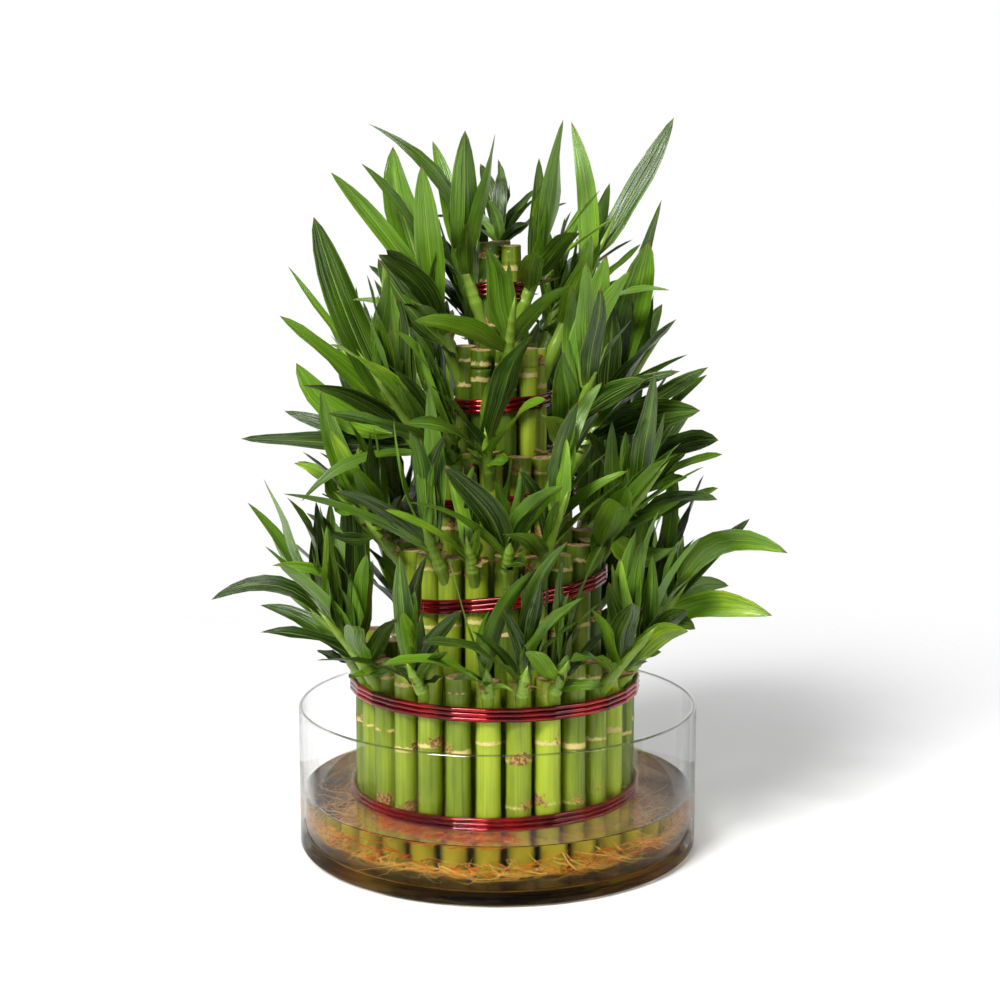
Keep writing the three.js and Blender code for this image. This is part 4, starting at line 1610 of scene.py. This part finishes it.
        def wish(attempt: int) -> Blade:
            """Returns the blade for one try."""
            withered = self.draw(0, 1) < RULE.withered_share
            scale = RULE.withered_length if withered else 1.0
            blade = self.young_leaf(shoot, CLASPING, attempt, scale, RULE.clasping_share)
            blade.withered = withered
            return blade

        self.place(shoot, wish)

    def place_upright_leaf(self, shoot: Shoot) -> None:
        """Places a young narrow leaf that stands nearly straight up from the top of its stem.

        Args:
            shoot: The shoot it grows from.
        """
        rooting = (RULE.upright_from, shoot.top)
        self.place(
            shoot,
            lambda attempt: self.young_leaf(shoot, UPRIGHT, attempt, shoot.length, rooting),
        )


FOOT_ROWS = ((0, 0.9, 0, 1, 0), (0.5, 1, 0.3, 0, 0))
TOP_ROWS = (
    (-0.7, 1, 0, 0, 0),
    (-0.3, 0.985, 0.5, 0.3, 0),
    (0, 0.94, 0, 1, 0),
    (-0.25, 0.8, 0, 1, 0),
)
NODE_ROWS = (
    (-2.6, 1, 0, 0, 0),
    (-1.3, 1, 0.014, 0.5, 0.4),
    (-0.4, 1, 0.05, 1.2, 0.6),
    (0.2, 1, 0.008, 1.2, 0.9),
    (1.3, 1, 0.03, 0.7, 1),
    (3.4, 1.005, 0, 0, 0.7),
    (6.0, 1, 0, 0, 0),
)


@dataclass
class CaneRing:
    """The round canes of one tier, with cut ends, node lines and root buds.

    FOOT_ROWS and TOP_ROWS give a row's height from the cane's end, its share of the cane's radius,
    and how much it is node line, cut end and root buds. NODE_ROWS give its height from the node,
    its share of the radius, how much it swells, and how much it is node line and root buds.
    """

    tier: Tier
    heights: Draws
    shades: Draws
    sides: int = 18
    floor: float = 6.3
    low_nodes: tuple[float, ...] = ()
    node_wander: float = 4.5
    below_top: float = 7.0
    swell: Range = (0.6, 1.2)
    clear_line: Range = (0.5, 1.1)
    faint_line: Range = (0.1, 0.8)
    girth: Range = (0.9, 1.0)
    slant: float = 0.09
    oval: Range = (0.95, 1.05)
    shade_range: Range = OUTER_SHADE
    bud_angle: float = 55.0
    bud_core: float = 1.3
    bud_rows: int = 3
    bud_strength: Range = (0.4, 1.1)

    def rows(self, top: float) -> np.ndarray:
        """Returns the rows of one cane.

        Args:
            top: The height of its cut end.

        Returns:
            Rows of height, share of its radius, node line, cut end and root buds.
        """
        rows = [(self.floor + above, *looks) for above, *looks in FOOT_ROWS]
        wandering = (*self.low_nodes, *self.tier.nodes)
        nodes = [node + self.shades(-self.node_wander, self.node_wander) for node in wandering]
        for number, node in enumerate((*nodes, top - self.below_top)):
            swell = self.shades(*self.swell)
            plain = len(self.low_nodes) <= number < len(nodes)
            clear = self.shades(*(self.clear_line if plain else self.faint_line))
            rows += [
                (node + above, share + swelling * swell, line * clear, 0, buds)
                for above, share, swelling, line, buds in NODE_ROWS
            ]
        rows += [(top + above, *looks) for above, *looks in TOP_ROWS]
        return np.array(rows)

    def cane(self, blank: Piece, number: int) -> Piece:
        """Returns one cane in its place.

        Args:
            blank: The tube that it is shaped from.
            number: Its number in the ring, from 0.

        Returns:
            The cane.
        """
        top = self.tier.top + self.heights(-self.tier.spread, self.tier.spread)
        rows = self.rows(top)
        foot = self.tier.foot(number)
        radius = self.tier.radius * self.shades(*self.girth)
        slant = self.shades(-self.slant, self.slant)
        turn = math.radians(self.tier.facing(number))
        oval = self.shades(*self.oval)

        def place(points: np.ndarray) -> np.ndarray:
            """Sets the blank's rows to the cane's heights and girths."""
            row = np.rint(points[:, 2]).astype(int)
            height, share = rows[row, :2].T
            x, y = points[:, 0] * radius * share, points[:, 1] * radius * share * oval
            height = height + slant * x * (row >= len(rows) - len(TOP_ROWS))
            return np.column_stack([
                foot[0] + x * math.cos(turn) - y * math.sin(turn),
                foot[1] + x * math.sin(turn) + y * math.cos(turn),
                height,
            ])

        row = np.rint(points_of(blank)[:, 2]).astype(int)
        cane = reshaped(blank, place, self.shades(*self.shade_range))
        set_attribute(cane, "ring", rows[row, 2])
        set_attribute(cane, "cut", rows[row, 3])
        set_attribute(cane, "bud", self.bud_patch(points_of(blank), rows))
        return cane

    def bud_patch(self, points: np.ndarray, rows: np.ndarray) -> np.ndarray:
        """Returns how much each point of a cane belongs to a patch of root buds above a node.

        Args:
            points: The blank's points.
            rows: The cane's rows.

        Returns:
            One number for each point.
        """
        row = np.rint(points[:, 2]).astype(int)
        angle = np.degrees(np.arctan2(points[:, 1], points[:, 0]))
        patch = np.zeros(len(points))
        for middle_row in np.flatnonzero(rows[:, 4] == 1):
            strong = self.shades(*self.bud_strength)
            away = np.abs((angle - self.shades(-180, 180) + 180) % 360 - 180)
            share = np.clip(self.bud_core - away / self.bud_angle, 0, 1) * strong * rows[row, 4]
            near = np.abs(row - middle_row) <= self.bud_rows
            patch = np.maximum(patch, np.where(near, share, 0))
        return patch

    def make(self) -> None:
        """Makes the tier's canes as one dressed piece."""
        nodes = len(self.low_nodes) + len(self.tier.nodes) + 1
        rows = range(len(FOOT_ROWS) + len(NODE_ROWS) * nodes + len(TOP_ROWS))
        blank = tube_blank("cane_blank", round_section(self.sides), rows, End.FLAT, End.FLAT)
        canes = [self.cane(blank, number) for number in range(self.tier.canes)]
        bpy.data.objects.remove(blank)
        piece = joined(f"{self.tier.name}_round_canes", canes)
        hand_over(piece, CaneFinish(), Slot.CANE, f"{self.tier.name}_canes")


@dataclass
class WireWinding:
    """A band of taut red wire, wound round a tier, with its ends twisted together at the back."""

    tier: Tier
    band: Band
    number: int
    shades: Draws
    gauge: float = 1.18
    clearance: float = 0.35
    bulge: float = 0.12
    pitch: float = 2.3
    turns: int = 3
    steps: int = 5
    sides: int = 3
    twist_turns: float = 3.5
    twist_length: float = 9.0
    twist_points: int = 25
    twist_reach: float = 1.05
    twist_depth: float = 0.7
    lean: float = 0.4
    stand_off: float = 1.2

    def path(self) -> np.ndarray:
        """Returns the points that the wire follows."""
        tier = self.tier
        points = []
        start = tier.canes // 2
        spread = 360 / tier.canes
        slope = self.band.tilt / (2 * (tier.ring + tier.radius))
        total = self.turns * tier.canes
        for cane in range(total + 1):
            facing = tier.facing(start + cane)
            bulge = self.shades(-self.bulge, self.bulge)
            for step in range(self.steps):
                turn = facing + spread * (step / (self.steps - 1) - 0.5)
                middle = tier.ring * outward(facing)
                point = middle + (tier.radius + self.gauge + self.clearance) * outward(turn)
                share = (cane + step / self.steps) / total
                height = self.band.height + (share - 0.5) * self.turns * self.pitch
                height += slope * point[0] + bulge
                points.append([tier.centre + point[0], point[1], height])
        return np.array(points)

    def tail(self, root: np.ndarray, side: int) -> np.ndarray:
        """Returns the points of one end of the wire, twisted round the other end.

        Args:
            root: Where both ends leave the band.
            side: 1 for one end and -1 for the other.

        Returns:
            The points that the end follows.
        """
        away = unit(np.array([root[0] - self.tier.centre, root[1], 0.0]))
        across = np.cross(UP, away)
        share = np.linspace(0, 1, self.twist_points)
        turn = 2 * np.pi * self.twist_turns * share + (0 if side > 0 else np.pi)
        reach = self.gauge * self.twist_reach * np.minimum(1, 6 * share)
        rise = across * self.twist_length * self.lean + UP * self.twist_length
        off = self.gauge * self.stand_off * np.minimum(1, 4 * share)
        line = root + np.outer(share, rise) + np.outer(off, away)
        line = line + np.outer(np.cos(turn) * reach, across)
        return line + np.outer(np.sin(turn) * reach * self.twist_depth, away)

    def strand(self, name: str, points: np.ndarray) -> Piece:
        """Returns a wire of the right gauge along some points.

        Args:
            name: Its name.
            points: The points.

        Returns:
            The wire.
        """
        curve = bpy.data.curves.new(name, "CURVE")
        curve.dimensions = "3D"
        curve.bevel_depth = self.gauge * MM
        curve.bevel_resolution = self.sides
        curve.use_fill_caps = True
        spline = curve.splines.new("POLY")
        spline.points.add(len(points) - 1)
        weighted = np.column_stack([points * MM, np.ones(len(points))])
        spline.points.foreach_set("co", weighted.ravel())
        strand = bpy.data.objects.new(name, curve)
        bpy.context.scene.collection.objects.link(strand)
        activate(strand)
        bpy.ops.object.convert(target="MESH")
        bpy.ops.object.shade_smooth_by_angle(angle=SMOOTH_ANGLE)
        return bpy.context.object

    def make(self) -> None:
        """Makes the dressed band."""
        path = self.path()
        root = (path[0] + path[-1]) / 2
        strands = [self.strand("wire_turns", path)]
        strands += [self.strand("wire_tail", self.tail(root, side)) for side in (1, -1)]
        name = f"{self.tier.name}_wire_band_{self.number}"
        piece = joined(name.replace("band", "winding"), strands)
        hand_over(piece, WireFinish(), Slot.WIRE, name)


@dataclass
class LeafMaker:
    """Turns a placed shoot into its stem and folded leaves.

    The stem's rows are pairs: how far up it they are, and their share of its radius. A sheath's
    are measured from where it ends, and those of the rolled young leaf are shares of its length.
    """

    shades: Draws
    along_rows: tuple[float, ...] = (
        0, 0.035, 0.09, 0.17, 0.27, 0.38, 0.5, 0.62, 0.74, 0.85, 0.94, 1,
    )
    fullness: float = 2.42
    root_curve: float = 0.55
    tip_curve: float = 0.75
    thickness: float = 0.6
    fold: float = 0.3
    fold_range: Range = (0.5, 1.4)
    base_fold: float = 1.3
    base_share: float = 0.2
    ripple: Range = (0.2, 1.3)
    waves: Range = (1.2, 2.6)
    lag: float = 1.7
    curl: Range = (-0.05, 0.14)
    sway: float = 0.035
    roll: float = 12
    twist: float = 32
    leaf_tone: Range = (0.0, 1.0)
    stem_tone: Range = (0.3, 0.8)
    stem_share: float = 0.16
    stem_sides: int = 10
    stem_radius: float = 3.7
    stem_slimmest: float = 1.3
    sunk: float = 5.0
    sheaths: tuple[float, ...] = (0.24, 0.42, 0.6, 0.78, 0.93)
    foot_rows: Rows = ((0.0, 0.82), (0.14, 1.0))
    sheath_rows: Rows = ((-0.05, 0.99), (0, 1.0), (0.012, 0.94))
    spear_rows: Rows = ((0.25, 0.6), (1, 0.0))

    def __post_init__(self) -> None:
        """Models the leaf and stem blanks."""
        section = np.array([(-1, 0), (-0.5, 1), (0, 1), (0.5, 1), (1, 0), (0, -1)], float)
        rows = range(len(self.along_rows))
        self.leaf_blank = tube_blank("leaf_blank", section, rows, End.POINT, End.POINT)
        sheath_rows = len(self.sheath_rows) * len(self.sheaths)
        self.stem_count = 1 + len(self.foot_rows) + sheath_rows + len(self.spear_rows)
        section = round_section(self.stem_sides)
        rows = range(self.stem_count)
        self.stem_blank = tube_blank("stem_blank", section, rows, End.FLAT, End.POINT)

    def leaf(self, shoot: Shoot, blade: Blade, tone: float) -> Piece:
        """Returns one leaf: clasping at its base, pointed, folded, wavy and a little twisted.

        Args:
            shoot: The shoot it grows from.
            blade: Where it lies.
            tone: Its shade.

        Returns:
            The leaf in its place.
        """
        blank_points = points_of(self.leaf_blank)
        along = np.array(self.along_rows)[np.rint(blank_points[:, 2]).astype(int)]
        across, face = blank_points[:, 0], blank_points[:, 1]
        ripple = self.shades(*self.ripple)
        waves = self.shades(*self.waves)
        phase = self.shades(0, 6.28)
        curl = self.shades(*self.curl)
        sway = self.shades(-self.sway, self.sway) * blade.length
        blade.roll += self.shades(-self.roll, self.roll)
        blade.twist = self.shades(-self.twist, self.twist)
        blade.bend.start = shoot.drawn.at(np.array(blade.share))
        fold = self.fold * self.shades(*self.fold_range)

        def place(points: np.ndarray) -> np.ndarray:
            """Lays the blank along the blade."""
            narrowing = (1 - along) ** self.tip_curve
            outline = self.fullness * np.clip(along, 0.03, 1) ** self.root_curve * narrowing
            half = blade.width / 2 * outline * blade.slim
            folded = fold + self.base_fold * np.clip(1 - along / self.base_share, 0, 1) ** 2
            raised = (folded * np.abs(across) - curl * across**2) * half
            raised += face * (1 - np.abs(across)) * self.thickness / 2 * (1 - 0.5 * along)
            wave = np.sin(waves * 2 * np.pi * along + phase + self.lag * np.sign(across))
            wave *= np.abs(across) * np.clip(outline, 0, 1) * np.clip(along * 4, 0, 1)
            placed = blade.surface(along, across, raised + ripple * wave, outline * blade.slim)
            swing = np.sin(np.pi * along) ** 2 * np.sin(np.pi * 1.5 * along) * sway
            return placed + np.outer(swing, blade.side)

        leaf = reshaped(self.leaf_blank, place, tone)
        set_attribute(leaf, "stem", np.clip(1 - along / self.stem_share, 0, 1))
        set_attribute(leaf, "withered", np.array(float(blade.withered)))
        set_uv(leaf, np.column_stack([(across + 1) / 2, along]))
        return leaf

    def stem(self, shoot: Shoot, tone: float) -> Piece:
        """Returns a stem: sheath round sheath, sunk in its cane, with a rolled young leaf on top.

        Args:
            shoot: The shoot whose stem it is.
            tone: Its shade.

        Returns:
            The stem in its place.
        """
        start = -self.sunk / (2 * RULE.drawn_bend * shoot.reach)
        rows = [(start, 0.8), *self.foot_rows]
        for sheath in self.sheaths:
            middle = sheath * shoot.top
            rows += [(middle + above, share) for above, share in self.sheath_rows]
        rows += [(shoot.top + RULE.spear * part, share) for part, share in self.spear_rows]
        places = np.array(rows)

        def place(points: np.ndarray) -> np.ndarray:
            """Lays the blank along the stem."""
            along, share = places[np.rint(points[:, 2]).astype(int)].T
            taper = 1 - RULE.stem_taper * np.clip(along, 0, self.stem_slimmest)
            radius = self.stem_radius * taper * share
            return shoot.stem_point(shoot.drawn, along, points[:, 0], points[:, 1], radius)

        across, _, row = points_of(self.stem_blank).T
        stem = reshaped(self.stem_blank, place, tone)
        set_attribute(stem, "stem", np.array(1.0))
        set_attribute(stem, "withered", np.array(0.0))
        set_uv(stem, np.column_stack([0.25 + 0.2 * across, row / self.stem_count * 0.9]))
        return stem

    def make(self, shoot: Shoot) -> None:
        """Makes one dressed leafy shoot.

        Args:
            shoot: The shoot.
        """
        parts = [self.stem(shoot, self.shades(*self.stem_tone))]
        parts += [self.leaf(shoot, blade, self.shades(*self.leaf_tone)) for blade in shoot.blades]
        piece = joined(f"{shoot.name}_leaves", parts)
        hand_over(piece, LeafFinish(), Slot.LEAF, shoot.name)

    def clear_away(self) -> None:
        """Removes the blanks."""
        bpy.data.objects.remove(self.leaf_blank)
        bpy.data.objects.remove(self.stem_blank)


@dataclass(frozen=True)
class Guide:
    """A place that a root passes: how far aside it may be, how far from the canes, and how high."""

    aside: float
    reach: Range
    height: Range


@dataclass(frozen=True)
class RootKind:
    """One kind of root, in millimetres and degrees. A kind with no tone is rusty or pale."""

    start: Range
    guides: tuple[Guide, Guide, Guide]
    girth: Range
    wiggle: Range
    tone: Range | None = None


SPREADING = RootKind(
    (8, 15),
    (
        Guide(6, (4, 10), (10, 20)),
        Guide(14, (13.6, 24.6), (7, 24)),
        Guide(26, (15.6, 27.6), (6.5, 25)),
    ),
    (0.22, 0.46), (0.5, 2.4),
)
TRAILING = RootKind(
    (9, 18),
    (Guide(6, (6, 16), (6, 14)), Guide(22, (8, 20), (4, 10)), Guide(26, (2, 14), (6.5, 16))),
    (0.24, 0.42), (0.6, 2.2), (0.9, 1.4),
)
TANGLED = RootKind(
    (7, 12),
    (Guide(5, (1, 5), (7, 13)), Guide(10, (2, 8), (6.5, 11)), Guide(14, (1, 9), (6.5, 10))),
    (0.2, 0.42), (0.3, 1.4), (0.3, 1.0),
)
FLOATING = RootKind(
    (21, 25),
    (Guide(4, (1, 3), (22, 26)), Guide(6, (1, 5), (21, 26)), Guide(8, (0, 5), (20, 25.5))),
    (0.4, 0.8), (0.2, 0.8), (0, 0.4),
)


@dataclass
class RootTangle:
    """The roots: long ones out to the wall, loops, a tangle at the canes, and some that float."""

    tier: Tier
    shades: Draws
    sides: int = 5
    steps: int = 9
    floor: float = 6.4
    wall: float = 96.4
    taper: float = 0.7
    waves: Range = (1.5, 3.5)
    lift: float = 0.4
    counts: tuple[tuple[RootKind, int], ...] = ((SPREADING, 5), (TRAILING, 5), (TANGLED, 13))
    floating: int = 190
    floating_azimuth: Range = (-50, 8)
    pale_share: float = 0.45
    pale_tone: Range = (0.9, 1.3)
    rusty_tone: Range = (0, 0.75)

    def guided(self, azimuth: float, guide: Guide) -> np.ndarray:
        """Returns a place that a root passes.

        Args:
            azimuth: Where the root leaves the canes.
            guide: Where it may pass.

        Returns:
            The place.
        """
        draw = self.shades
        heading = outward(azimuth + draw(-guide.aside, guide.aside))
        reach = self.tier.ring + self.tier.radius + draw(*guide.reach)
        return self.tier.middle + heading * reach + UP * draw(*guide.height)

    def mixed_tone(self) -> float:
        """Returns the tone of a root that may be pale or rusty."""
        pale = self.shades(0, 1) < self.pale_share
        return self.shades(*(self.pale_tone if pale else self.rusty_tone))

    def root(self, blank: Piece, kind: RootKind, azimuth: float) -> Piece:
        """Returns one wavy root.

        Args:
            blank: The tube to lay along it.
            kind: Which kind it is.
            azimuth: Where it leaves the canes.

        Returns:
            The root in its place.
        """
        draw = self.shades
        inside_skin = self.tier.ring + self.tier.radius - 1
        start = self.tier.middle + outward(azimuth) * inside_skin + UP * draw(*kind.start)
        first, second, tip = (self.guided(azimuth, guide) for guide in kind.guides)
        mixed = 0.0 if kind.tone else self.mixed_tone()
        girth, wiggle = draw(*kind.girth), draw(*kind.wiggle)
        tone = draw(*kind.tone) if kind.tone else mixed
        phase, waves = draw(0, 6.28), draw(*self.waves)
        side = np.cross(UP, unit(tip - start + 1e-6))

        def place(points: np.ndarray) -> np.ndarray:
            """Lays the blank along the root, on the floor and inside the wall."""
            t = (points[:, 2] / self.steps)[:, None]
            line = start * (1 - t) ** 3 + first * 3 * t * (1 - t) ** 2
            line = line + second * 3 * t * t * (1 - t) + tip * t**3
            sway = np.sin(waves * 2 * np.pi * t + phase) * wiggle * t
            line = line + side * sway + UP * np.cos(waves * 7 * t + phase) * wiggle * self.lift * t
            radius = girth * (1 - self.taper * t[:, 0])
            ahead = unit(tip - start)
            up = unit(UP - ahead * ahead[2] + 1e-6)
            right = np.cross(ahead, up)
            line = line + right * (points[:, 0] * radius)[:, None]
            line = line + up * (points[:, 1] * radius)[:, None]
            distance = np.hypot(line[:, 0], line[:, 1])
            line[:, :2] *= np.minimum(1, self.wall / distance)[:, None]
            line[:, 2] = np.maximum(line[:, 2], self.floor + 0.1 * points[:, 1])
            return line

        return reshaped(blank, place, tone)

    def make(self) -> None:
        """Makes all the roots as one dressed piece."""
        rows = range(self.steps + 1)
        blank = tube_blank("root_blank", round_section(self.sides), rows, End.FLAT, End.POINT)
        roots = []
        spread = 180 / self.tier.canes
        for cane in range(self.tier.canes):
            facing = self.tier.facing(cane)
            for kind, count in self.counts:
                for _ in range(count):
                    roots.append(self.root(blank, kind, facing + self.shades(-spread, spread)))
        for _ in range(self.floating):
            roots.append(self.root(blank, FLOATING, self.shades(*self.floating_azimuth)))
        bpy.data.objects.remove(blank)
        piece = joined("root_tangle", roots)
        hand_over(piece, RootFinish(), Slot.ROOT, "roots")


@dataclass
class GlassBowl:
    """The low round bowl with its thick base and rounded rim, and the water in it."""

    radius: float = 100.0
    height: float = 72.0
    wall: float = 2.8
    base: float = 6.0
    foot_round: float = 3.5
    inner_corner: float = 3.0
    water_top: float = 27.5
    meniscus: float = 1.1
    meniscus_reach: float = 3.2
    meniscus_rows: tuple[float, ...] = (0, 0.12, 0.3, 0.55, 1)
    overlap: float = 0.06
    steps: int = 144

    def make_bowl(self) -> None:
        """Makes the dressed glass."""
        inside = self.radius - self.wall
        foot, rim, corner = self.foot_round, self.wall / 2, self.inner_corner
        profile = [(0, 0)]
        profile += arc((self.radius - foot, foot), foot, -90, 0, 6)
        profile += arc((self.radius - rim, self.height - rim), rim, 0, 180, 10)
        profile += arc((inside - corner, self.base + corner), corner, 0, -90, 5)
        profile += [(0, self.base)]
        hand_over(spun("glass_bowl", profile, self.steps), GlassFinish(), Slot.GLASS, "bowl")

    def make_water(self) -> None:
        """Makes the dressed water. It overlaps the glass a hair, so that no air shows between."""
        outside = self.radius - self.wall + self.overlap
        bottom = self.base - self.overlap
        corner = self.inner_corner + self.overlap
        profile = [(0, bottom)]
        profile += arc((outside - corner, bottom + corner), corner, -90, 0, 5)
        profile += [
            (outside - self.meniscus_reach * row, self.water_top + self.meniscus * (1 - row) ** 3)
            for row in self.meniscus_rows
        ]
        profile += [(0, self.water_top)]
        hand_over(spun("water_fill", profile, self.steps), WaterFinish(), Slot.WATER, "water")


@dataclass
class Studio:
    """Pale floor, soft lights, and the camera where the photograph was taken from.

    A light has its place, its size and its power. The surroundings go from the horizon's
    strength to the one overhead between the two shares of the way up.
    """

    distance: float = 0.88
    eye: float = 0.303
    dip: float = 8.35
    sensor: float = 36.0
    focal_pixels: float = 1788.0
    frame_pixels: float = 1000.0
    middle_pixel: float = 497.5
    floor_size: float = 8.0
    floor_drop: float = 0.2
    lights: tuple[tuple[Axes, float, float], ...] = (
        ((-0.7, -1.1, 1.3), 0.55, 43),
        ((1.3, -0.8, 0.9), 0.6, 6),
        ((0.3, 1.1, 1.5), 0.8, 9),
    )
    light_aim: Axes = (0, 0, 0.17)
    horizon: float = 1.0
    overhead: float = 0.14
    fall: Range = (0.14, 0.34)

    def make_floor(self) -> None:
        """Lays the floor."""
        deselect_all()
        place = (0, 0, -self.floor_drop * MM)
        bpy.ops.mesh.primitive_plane_add(size=self.floor_size, location=place)
        floor = bpy.context.object
        floor.name = "studio_floor"
        floor.data.materials.append(FloorFinish().material())
        floor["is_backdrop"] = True

    def make_camera(self) -> None:
        """Sets up the camera."""
        bpy.ops.object.camera_add(
            location=(0, -self.distance, self.eye),
            rotation=(math.radians(90 - self.dip), 0, 0),
        )
        camera = bpy.context.object
        camera.data.sensor_width = self.sensor
        camera.data.lens = self.sensor * self.focal_pixels / self.frame_pixels
        camera.data.shift_x = 0.5 - self.middle_pixel / self.frame_pixels
        bpy.context.scene.camera = camera

    def make_lights(self) -> None:
        """Sets up the soft square lights, which all face the plant."""
        for place, size, watts in self.lights:
            bpy.ops.object.light_add(type="AREA", location=place)
            light = bpy.context.object
            light.data.size = size
            light.data.energy = watts
            aim = Vector(self.light_aim) - Vector(place)
            light.rotation_euler = aim.to_track_quat("-Z", "Y").to_euler()

    def make_surroundings(self) -> None:
        """Sets the plain surroundings, bright at the horizon and dim overhead."""
        world = bpy.data.worlds.new("studio_surroundings")
        world.use_nodes = True
        nodes, link = world.node_tree.nodes, world.node_tree.links.new
        background = nodes["Background"]
        direction = nodes.new("ShaderNodeTexCoord")
        height = nodes.new("ShaderNodeSeparateXYZ")
        strength = nodes.new("ShaderNodeMapRange")
        link(direction.outputs["Generated"], height.inputs["Vector"])
        link(height.outputs["Z"], strength.inputs["Value"])
        limits = (*self.fall, self.horizon, self.overhead)
        for name, limit in zip(("From Min", "From Max", "To Min", "To Max"), limits):
            strength.inputs[name].default_value = limit
        link(strength.outputs["Result"], background.inputs["Strength"])
        background.inputs["Color"].default_value = (1, 1, 1, 1)
        bpy.context.scene.world = world
        bpy.context.scene.view_settings.view_transform = "Standard"

    def make(self) -> None:
        """Builds the studio."""
        self.make_floor()
        self.make_camera()
        self.make_lights()
        self.make_surroundings()


def note_sizes() -> None:
    """Works out the solids' box and the dressed plant's box, as plain lists of numbers."""
    boxes = {"cad": CAD_BOX, "visual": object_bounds()}
    boxes = {name: [list(corner) for corner in box] for name, box in boxes.items()}


def main() -> None:
    """Builds the studio, the bowl, the roots, the canes with their wire, and the leaves."""
    logging.basicConfig(level=logging.INFO, format="%(message)s")
    Studio().make()
    bowl = GlassBowl()
    bowl.make_bowl()
    bowl.make_water()
    outer = TIERS[0]
    RootTangle(outer, Draws(SEEDS["roots"])).make()
    heights, shades = Draws(SEEDS["heights"]), Draws(SEEDS["canes"])
    for tier in TIERS:
        low_nodes = LOW_NODES[tier.name]
        shade = OUTER_SHADE if tier is outer else INNER_PAINTED_SHADE
        CaneRing(tier, heights, shades, low_nodes=low_nodes, shade_range=shade).make()
        for number, band in enumerate(tier.bands, 1):
            WireWinding(tier, band, number, Draws(number + tier.canes)).make()
    plan = LeafPlan(TIERS)
    plan.run()
    plan.thicken()
    LOG.info("%d leaves", sum(len(shoot.blades) for shoot in plan.shoots))
    maker = LeafMaker(Draws(SEEDS["leaves"]))
    for shoot in plan.shoots:
        maker.make(shoot)
    maker.clear_away()
    note_sizes()


if __name__ == "__main__":
    main()
